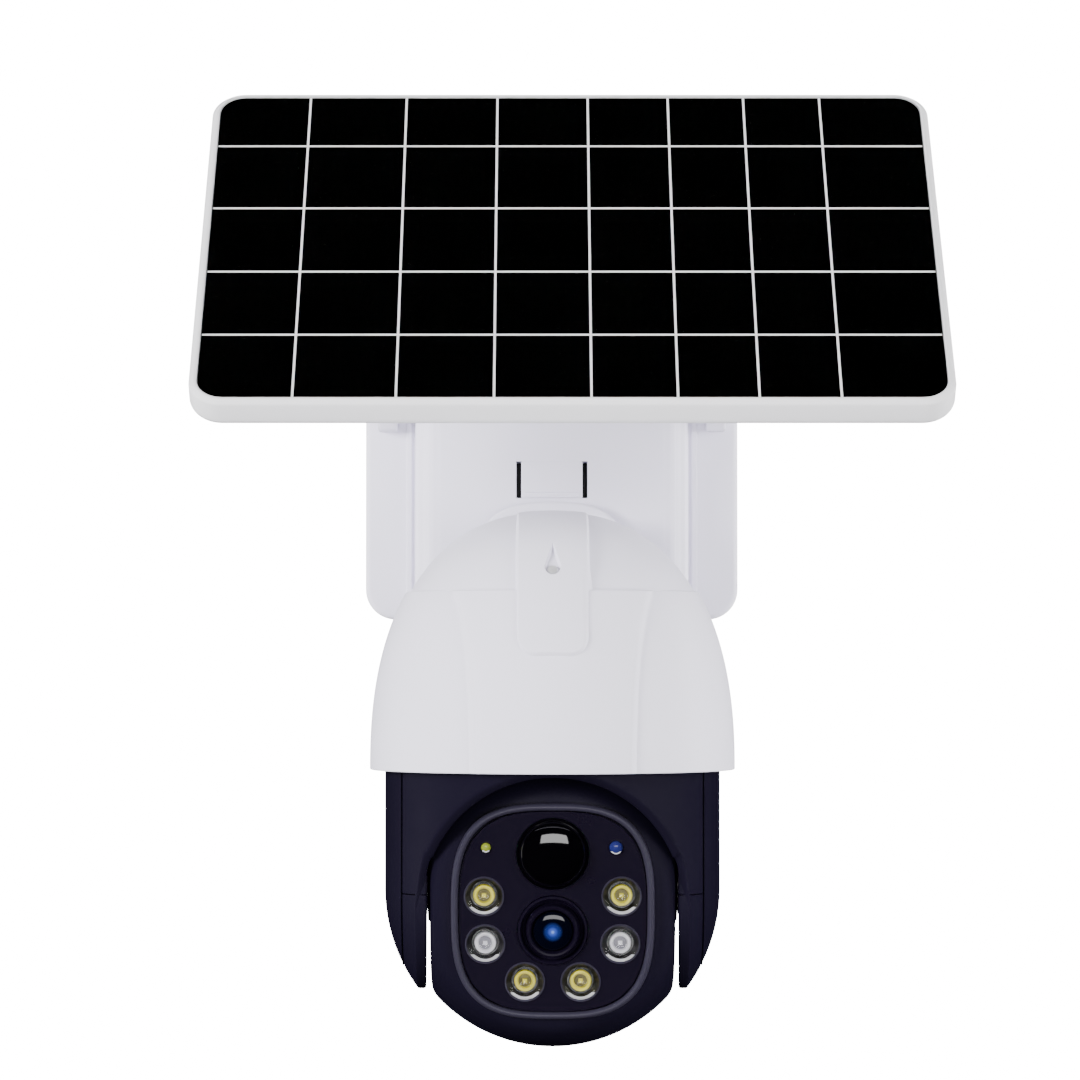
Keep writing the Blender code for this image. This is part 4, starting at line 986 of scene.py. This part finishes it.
def face_pieces():
    deep = FACE_DEPTH
    back = deep - 1.5 * MM
    ring = [(0.0, back), (-0.15 * MM, deep - 0.6 * MM), (0.15 * MM, deep + 0.3 * MM),
            (0.7 * MM, deep + 0.85 * MM), (1.2 * MM, deep + 1.0 * MM), (1.7 * MM, deep + 0.8 * MM),
            (2.2 * MM, deep + 0.3 * MM), (2.3 * MM, deep - 0.6 * MM), (2.3 * MM, back)]
    piece("bezel", carried(ring_outline, ring, "y", on_head, loop=True), "head", paint("trim"),
          ("bezel_ring",), 50)

    dome = [(0, deep - 1 * MM), (11.2 * MM, deep - 1 * MM), (11.9 * MM, deep - 0.4 * MM),
            (11.9 * MM, deep + 0.3 * MM), (11.7 * MM, deep + 0.55 * MM), (11.3 * MM, deep + 0.5 * MM)]
    dome += [(11.1 * MM * math.cos(a), deep + 0.4 * MM + 4.6 * MM * math.sin(a)) for a in arc(4, 89.5, 26)]
    piece("motion_dome_lens", turned(dome, "y", on_face(0, 19.5 * MM)), "head", paint("dome"),
          ("motion_dome",), 40)
    lens_pieces(deep)
    lamp_pieces(deep)
    for name, place, radius, tint in (("status_light", (-22.0, 21.6), 1.6, "status"),
                                      ("light_sensor", (20.8, 21.6), 2.2, "sensor")):
        cap = [(0, deep - 3 * MM), (radius * MM, deep - 3 * MM)]
        cap += [(radius * MM * math.cos(a), deep - 0.2 * MM + 0.75 * radius * MM * math.sin(a))
                for a in arc(0, 89, 10)]
        where = on_face(place[0] * MM, place[1] * MM)
        piece(name + "_cap", turned(cap, "y", where, steps=64), "head", paint(tint), (name,))
        rim = [((radius + 0.05) * MM, deep - 0.6 * MM), ((radius + 0.5) * MM, deep - 0.6 * MM),
               ((radius + 0.5) * MM, deep + 0.12 * MM), ((radius + 0.3) * MM, deep + 0.2 * MM),
               ((radius + 0.05) * MM, deep - 0.1 * MM)]
        piece(name + "_rim", turned(rim, "y", where, True, 64), "head", paint("face"))
        # A painted reflection: a bright moon at the bottom of each small light's cap.
        level = deep + 0.35 * radius * MM
        glint = crescent(0.62 * radius * MM, 0.92 * radius * MM, 0.5 * radius * MM, level, where)
        piece(name + "_glint", glint, "head", paint("glint"))


def crescent(near, far, chord, level, place):
    """A thin bright moon at the bottom of a round lens: a painted reflection, made as pale geometry.

    At each angle it runs from the larger of the near radius and the chord to the far radius.
    """
    end = math.degrees(math.asin(chord / far))
    rows = []
    for a in np.radians(np.linspace(-180 + end + 1, -end - 1, 33)):
        inner = max(near, chord / abs(math.sin(a)))
        ring = [(inner, 0), (far, 0), (far, 0.12 * MM), (inner, 0.12 * MM)]
        rows.append([(r * math.cos(a), -level - h, r * math.sin(a)) for r, h in ring])
    return skin(place(np.array(rows)))


def lens_pieces(deep):
    where = on_face(0, -6.2 * MM)
    barrel = [(6.6, -7), (11.6, -2), (11.6, 0.5), (11.35, 0.85), (10.8, 0.9), (10.4, 0.5), (10.0, -0.9),
              (9.4, -1.2), (8.9, -0.6), (8.8, 1.6), (8.55, 2.3), (8.1, 2.6), (7.5, 2.45), (7.0, 1.6),
              (6.6, -1.5)]
    shape = [(r * MM, deep + h * MM) for r, h in barrel]
    piece("lens_housing", turned(shape, "y", where, True), "head", paint("face"),
          ("lens_barrel",), 24)
    steps = [(6.6, -1.6), (6.6, 1.2), (5.6, 0.2), (5.5, -0.6), (4.9, -0.9), (4.8, -1.8), (4.2, -2.2),
             (4.2, -3)]
    cone = [(r * MM, deep + h * MM) for r, h in steps] + [(5.0 * MM, deep - 3.2 * MM)]
    piece("lens_baffle", turned(cone, "y", where, True), "head", paint("dark"), (), 20)
    glass = [(0, 0.9), (6.55, 0.9), (6.55, 1.3)]
    glass = [(r * MM, deep + h * MM) for r, h in glass]
    glass += [(6.5 * MM * math.cos(a), deep + 1.3 * MM + 1.5 * MM * math.sin(a)) for a in arc(4, 89, 20)]
    piece("lens_front_glass", turned(glass, "y", where), "head", paint("iris"),
          ("lens_glass",), 60)


LAMP_PLACES = {
    "warm_upper_left": (-22.7, 5.2), "warm_upper_right": (22.7, 5.2), "white_left": (-22.3, -10.8),
    "white_right": (22.3, -10.8), "warm_lower_left": (-9.2, -23.6), "warm_lower_right": (9.2, -23.6),
}


def lamp_pieces(deep):
    """Each lamp: a rim, a dark cup, a phosphor ring round a chip, a bright moon that is a painted
    reflection, and a clear cover.
    """
    for name, (x, up) in LAMP_PLACES.items():
        where = on_face(x * MM, up * MM)
        tint = "warm" if name.startswith("warm") else "cool"

        def turn(profile, closed=True, steps=96):
            return turned([(r * MM, deep + h * MM) for r, h in profile], "y", where, closed, steps)

        rim = [(6.05, -0.8), (6.65, -0.8), (6.65, 0.2), (6.5, 0.38), (6.3, 0.36), (6.05, 0.1)]
        piece("lamp_rim_" + name, turn(rim), "head", paint("trim"))
        cup = [(2.0, -3.6), (6.2, -3.6), (6.2, -0.1), (6.1, 0.0), (5.9, -0.5), (4.6, -1.6), (4.2, -2.6),
               (2.0, -2.7)]
        piece("lamp_cup_" + name + "_shell", turn(cup), "head", paint("dark"),
              ("lamp_cup_" + name,))
        ring = [(2.1, -2.8), (3.4, -2.8), (3.4, -1.7), (3.2, -1.5), (2.5, -1.5), (2.25, -1.9), (2.1, -2.1)]
        piece("lamp_phosphor_" + name, turn(ring), "head", paint(tint))
        plug = [(0, -2.9), (2.2, -2.9), (2.2, -2.2), (1.8, -2.05), (0, -2.05)]
        piece("lamp_base_" + name, turn(plug, False, 64), "head", paint(tint + "_deep"))
        chip = carried(lambda inset: rounded(0.7 * MM, 0.7 * MM, 0.2 * MM, inset, steps=3),
                       soft_slab(deep - 2.3 * MM, deep - 1.75 * MM, 0.12 * MM), "y", where)
        piece("lamp_chip_" + name, chip, "head", paint(tint))
        # The moon is a painted reflection: it stands for light reflected off the cup's lower wall.
        moon = crescent(5.0 * MM, 5.9 * MM, 3.5 * MM, deep - 0.25 * MM, where)
        piece("lamp_glint_" + name, moon, "head", paint("glint"))
        dome = [(0, deep), (5.9 * MM, deep), (6.0 * MM, deep + 0.1 * MM)]
        dome += [(5.95 * MM * math.cos(a), deep + 0.15 * MM + 1.1 * MM * math.sin(a))
                 for a in arc(4, 89, 14)]
        piece("lamp_dome_" + name, turned(dome, "y", where, False, 96), "head",
              paint("cover"), (), 60)


# ---------------------------------------------------------------- solar panel

PANEL_HALF = (125.7 * MM, 81.4 * MM)
PANEL_CENTRE = (6.4 * MM, -26.4 * MM)
PANEL_LOW = 16.2 * MM
PANEL_TOP = 27.0 * MM
PANEL_RIM = 2.7 * MM
PANEL_BACK_RIM = 1.5 * MM
CELL_COLUMNS = (-85.0, -51.2, -19.2, 12.6, 40.8, 67.4, 94.2)
CELL_ROWS = (26.1, -7.8, -41.3, -73.5)


def panel_outline(inset, back=None):
    """The panel's outline moved in by the inset, and by its own amount along the top edge."""
    shift = 0.0 if back is None else (inset - back) / 2
    half_width, half_length = PANEL_HALF
    centre = (PANEL_CENTRE[0], PANEL_CENTRE[1] + shift)
    return rounded(half_width, half_length + shift, 11.5 * MM, inset, centre, 16)


def rim_outline(inset):
    """As the panel's outline, with the inside of the rim nearer to the top edge."""
    return panel_outline(inset, min(inset, inset * PANEL_BACK_RIM / PANEL_RIM))


def panel_frame():
    """One closed ring: a round outer wall, a narrow top rim and a step down to the glass."""
    top, low, rim = PANEL_TOP, PANEL_LOW, PANEL_RIM
    wall = 3.0 * MM
    inner = [(wall - 0.2 * MM, low), (wall, low + 0.2 * MM), (wall, top - 5 * MM),
             (rim + 1.2 * MM, top - 4.8 * MM), (rim + 1.2 * MM, top - 2.2 * MM), (rim, top - 2.2 * MM),
             (rim, top - 0.15 * MM),
             (rim - 0.15 * MM, top)]
    outer = [(1.75 * MM, top), (1.6 * MM, top - 0.1 * MM), (0.35 * MM, top - 0.75 * MM),
             (0.1 * MM, top - 1.1 * MM), (0.0, top - 1.7 * MM)]
    outer += [(2.6 * MM * (1 - math.cos(a)), low + 3.4 * MM * (1 - math.sin(a))) for a in arc(0, 80, 8)]
    piece("panel_frame_shell", carried(rim_outline, inner + outer, "z", on_panel, True), "solar_panel",
          paint("frame_white"), ("panel_frame",), 50)


def panel_lines():
    """White ribbons on the cell sheet, one for each gap between rows and columns of cells."""
    half = sizes().grid_line / 2
    level = PANEL_TOP - 0.9 * MM
    low, high = rim_outline(PANEL_RIM + 0.5 * MM).min(axis=0), rim_outline(PANEL_RIM + 0.5 * MM).max(axis=0)
    ribbons = [ribbon((x * MM - half, low[1]), (x * MM + half, high[1]), level) for x in CELL_COLUMNS]
    ribbons += [ribbon((low[0], y * MM - half), (high[0], y * MM + half), level) for y in CELL_ROWS]
    piece("cell_lines", ribbons, "solar_panel", paint("lines"))


def ribbon(low, high, level):
    """A thin flat bar between two corners, just over the level."""
    outline = np.array([(low[0], low[1]), (high[0], low[1]), (high[0], high[1]), (low[0], high[1])])
    rows = [np.column_stack([outline, np.full(4, h)]) for h in (level - 0.05 * MM, level + 0.12 * MM)]
    return skin(on_panel(np.array(rows)))


def panel_back():
    """A plate with crossing ribs, the two hinge lugs and six screw heads."""
    inset = 3.3 * MM
    low = PANEL_LOW
    shells = [carried(lambda more: panel_outline(inset + more), soft_slab(low, low + 2 * MM, 0.4 * MM),
                      "z", on_panel)]
    for x in (-96, -36, 50, 110):
        rib = lambda more, x=x: rounded(1.2 * MM, 68 * MM, 1.0 * MM, more, (x * MM, -26.4 * MM), 3)
        shells.append(carried(rib, soft_slab(low - 1.6 * MM, low + 0.5 * MM, 0.4 * MM), "z", on_panel))
    for y in (-90, -26.4, 37):
        rib = lambda more, y=y: rounded(112 * MM, 1.2 * MM, 1.0 * MM, more, (6.4 * MM, y * MM), 3)
        shells.append(carried(rib, soft_slab(low - 1.6 * MM, low + 0.5 * MM, 0.4 * MM), "z", on_panel))
    for x in (-108, 7, 122):
        for y in (-96, 40):
            head = [(0, low - 0.4 * MM), (1.2 * MM, low - 0.4 * MM), (1.6 * MM, low - 1.1 * MM),
                    (3.2 * MM, low - 0.9 * MM), (3.4 * MM, low + 0.3 * MM), (0, low + 0.3 * MM)]
            shells.append(turned(head, "z", at(x * MM, y * MM, 0, on_panel), steps=40))
    lug = np.array([(8 * MM * math.cos(a), 8 * MM * math.sin(a)) for a in arc(180, 360, 30)]
                   + [(12 * MM, low + 1 * MM), (-12 * MM, low + 1 * MM)])
    lug = even(lug, 120)
    for near in (-54.5 * MM, 47.3 * MM):
        across = soft_slab(near, near + 7.2 * MM, 0.9 * MM)
        shells.append(carried(lambda more: shrunk(lug, more), across, "x", on_panel))
    piece("panel_back_plate", shells, "solar_panel", paint("frame_white"), ("panel_back",))


def junction_box():
    low = 5 * MM
    shell = carried(lambda inset: rounded(22 * MM, 15 * MM, 4 * MM, inset, (0, -58 * MM), 8),
                    soft_slab(low, PANEL_LOW - 0.3 * MM, 1.2 * MM), "z", on_panel)
    lid = carried(lambda inset: rounded(19.5 * MM, 12.5 * MM, 3 * MM, inset, (0, -58 * MM), 8),
                  soft_slab(low - 0.5 * MM, low + 1 * MM, 0.4 * MM), "z", on_panel)
    gland = [(0, 4), (4.6, 4), (4.6, 0), (4.6, -1.5), (5.2, -2), (5.2, -5), (4.6, -5.5), (4.1, -8),
             (3.0, -10), (1.6, -10), (1.5, -4), (0, -4)]
    gland = [(r * MM, h * MM) for r, h in gland]
    nut = turned(gland, "y", at(0, -43 * MM, 10 * MM, on_panel), steps=72)
    piece("junction_box_shell", [shell, lid, nut], "solar_panel",
          paint("black"), ("junction_box",))


# ---------------------------------------------------------------- operators

class BUILD_OT_materials(bpy.types.Operator):
    """Make the finishes and give each carried-over part the one of its slot"""
    bl_idname = "camera_build.materials"
    bl_label = "Materials"

    def execute(self, context):
        make_paints()
        for name, node in frame["nodes"].items():
            node.data.materials.clear()
            node.data.materials.append(paint(CAD_PAINT[SLOT_OF[name]]))
        frame["nodes"]["face_plate"].data.materials[0] = paint("face")
        return {"FINISHED"}


class BUILD_OT_battery_box(bpy.types.Operator):
    """Build the battery box, its release tab and the neck's collar"""
    bl_idname = "camera_build.battery_box"
    bl_label = "Battery Box"

    def execute(self, context):
        box_pieces()
        release_tab()
        collar()
        return {"FINISHED"}


class BUILD_OT_brackets(bpy.types.Operator):
    """Build the two bracket arms and their thumb screws"""
    bl_idname = "camera_build.brackets"
    bl_label = "Panel Brackets"

    def execute(self, context):
        brackets()
        return {"FINISHED"}


class BUILD_OT_hood(bpy.types.Operator):
    """Build the hood's cap with its tongue and neck, and the skirt"""
    bl_idname = "camera_build.hood"
    bl_label = "Hood"

    def execute(self, context):
        hood_pieces()
        return {"FINISHED"}


class BUILD_OT_yoke(bpy.types.Operator):
    """Build the yoke's crown, arms, caps and covers"""
    bl_idname = "camera_build.yoke"
    bl_label = "Yoke"

    def execute(self, context):
        yoke_pieces()
        return {"FINISHED"}


class BUILD_OT_head(bpy.types.Operator):
    """Build the ball-shaped head"""
    bl_idname = "camera_build.head"
    bl_label = "Head"

    def execute(self, context):
        head_pieces()
        return {"FINISHED"}


class BUILD_OT_face(bpy.types.Operator):
    """Build what stands on the head's face"""
    bl_idname = "camera_build.face"
    bl_label = "Face"

    def execute(self, context):
        face_pieces()
        return {"FINISHED"}


class BUILD_OT_solar_panel(bpy.types.Operator):
    """Build the solar panel's frame, lines, back and junction box"""
    bl_idname = "camera_build.solar_panel"
    bl_label = "Solar Panel"

    def execute(self, context):
        panel_frame()
        panel_lines()
        panel_back()
        junction_box()
        return {"FINISHED"}


def area_light(name, place, aim, size, power, colour=(1, 1, 1)):
    """A soft square light at a place, looking at the aim."""
    data = bpy.data.lights.new(name, "AREA")
    data.shape = "RECTANGLE"
    data.size, data.size_y = size
    data.energy = power
    data.color = colour
    made = bpy.data.objects.new(name, data)
    bpy.context.scene.collection.objects.link(made)
    made.location = place
    way = np.array(place, dtype=float) - np.array(aim, dtype=float)
    tip = math.acos(way[2] / np.linalg.norm(way))
    made.rotation_euler = (tip, 0, math.atan2(way[1], way[0]) + math.pi / 2)
    return made


def backdrop():
    """A pale floor that curves up all round into a wall and a roof, as one closed turned surface."""
    floor, bend, reach, roof = -0.95, 0.8, 4.0, 4.5
    curve = [(reach - bend + bend * math.sin(a), floor + bend - bend * math.cos(a))
             for a in arc(0, 90, 16)]
    verts, quads, fans = turned([(0, floor), (1.5, floor), *curve, (reach, roof), (0, roof)], steps=96)
    data = bpy.data.meshes.new("floor_sweep")
    data.from_pydata(verts.tolist(), [], [*quads.tolist(), *fans.tolist()])
    data.shade_smooth()
    made = bpy.data.objects.new("floor_sweep", data)
    bpy.context.scene.collection.objects.link(made)
    data.materials.append(principled("pale_floor", (0.93, 0.93, 0.93), 0.9, Specular_IOR_Level=0.1,
                                     Emission_Color=(1, 1, 1, 1), Emission_Strength=16.0))
    made.visible_diffuse = False
    made.visible_glossy = False
    made.visible_transmission = False
    made.visible_shadow = False


class BUILD_OT_stage(bpy.types.Operator):
    """Set up the pale floor, the soft lights and the camera"""
    bl_idname = "camera_build.stage"
    bl_label = "Stage"

    def execute(self, context):
        backdrop()
        middle = (0, PAN_Y, -0.03)
        matt = (area_light("key", (-1.75, -1.3, 0.35), middle, (0.8, 0.8), 104),
                area_light("fill", (1.7, -1.5, 0.1), middle, (1.0, 1.0), 46),
                area_light("left_side", (-1.8, 0.5, 0.1), middle, (0.8, 1.6), 14),
                area_light("right_side", (1.8, 0.2, 0.1), middle, (0.8, 1.6), 56),
                area_light("low_front", (0.0, -1.9, -0.75), middle, (1.2, 0.4), 24))
        for light in matt:
            light.visible_glossy = False
        area_light("left_sheen", (-1.8, 0.2, 0.1), middle, (0.8, 1.6), 3.0)
        area_light("right_sheen", (1.8, 0.2, 0.1), middle, (0.8, 1.6), 3.0)
        window = area_light("window", (0.12, -2.25, 0.3), middle, (1.9, 0.75), 14)
        window.visible_diffuse = False
        world = bpy.data.worlds.new("soft_studio")
        world.use_nodes = True
        world.node_tree.nodes["Background"].inputs["Color"].default_value = (1, 1, 1, 1)
        world.node_tree.nodes["Background"].inputs["Strength"].default_value = 0.72
        world.cycles_visibility.glossy = False
        context.scene.world = world
        data = bpy.data.cameras.new("view")
        data.lens = 139
        data.sensor_width = 36
        camera = bpy.data.objects.new("view", data)
        context.scene.collection.objects.link(camera)
        camera.location = (-4.2 * MM, -1.51, -63 * MM)
        camera.rotation_euler = (math.radians(90 + 1.51), 0, 0)
        context.scene.camera = camera
        return {"FINISHED"}


class BUILD_PT_panel(bpy.types.Panel):
    """Lists the steps of the build and the sizes and colours to change"""
    bl_label = "Solar Security Camera"
    bl_idname = "BUILD_PT_panel"
    bl_space_type = "VIEW_3D"
    bl_region_type = "UI"
    bl_category = "Camera Build"

    def draw(self, context):
        for group in (context.scene.camera_sizes, context.scene.camera_colours):
            for name in group.__annotations__:
                self.layout.prop(group, name)
        for step in STEPS:
            self.layout.operator(step.bl_idname)


STEPS = (BUILD_OT_stage, BUILD_OT_materials, BUILD_OT_battery_box, BUILD_OT_brackets, BUILD_OT_hood,
         BUILD_OT_yoke, BUILD_OT_head, BUILD_OT_face, BUILD_OT_solar_panel)
CLASSES = (CameraColours, CameraSizes, *STEPS, BUILD_PT_panel)


def register():
    for made in CLASSES:
        bpy.utils.register_class(made)
    bpy.types.Scene.camera_colours = bpy.props.PointerProperty(type=CameraColours)
    bpy.types.Scene.camera_sizes = bpy.props.PointerProperty(type=CameraSizes)


def unregister():
    del bpy.types.Scene.camera_sizes
    del bpy.types.Scene.camera_colours
    for made in reversed(CLASSES):
        bpy.utils.unregister_class(made)


def main():
    register()
    for step in STEPS:
        group, name = step.bl_idname.split(".")
        getattr(getattr(bpy.ops, group), name)()


if __name__ == "__main__":
    main()
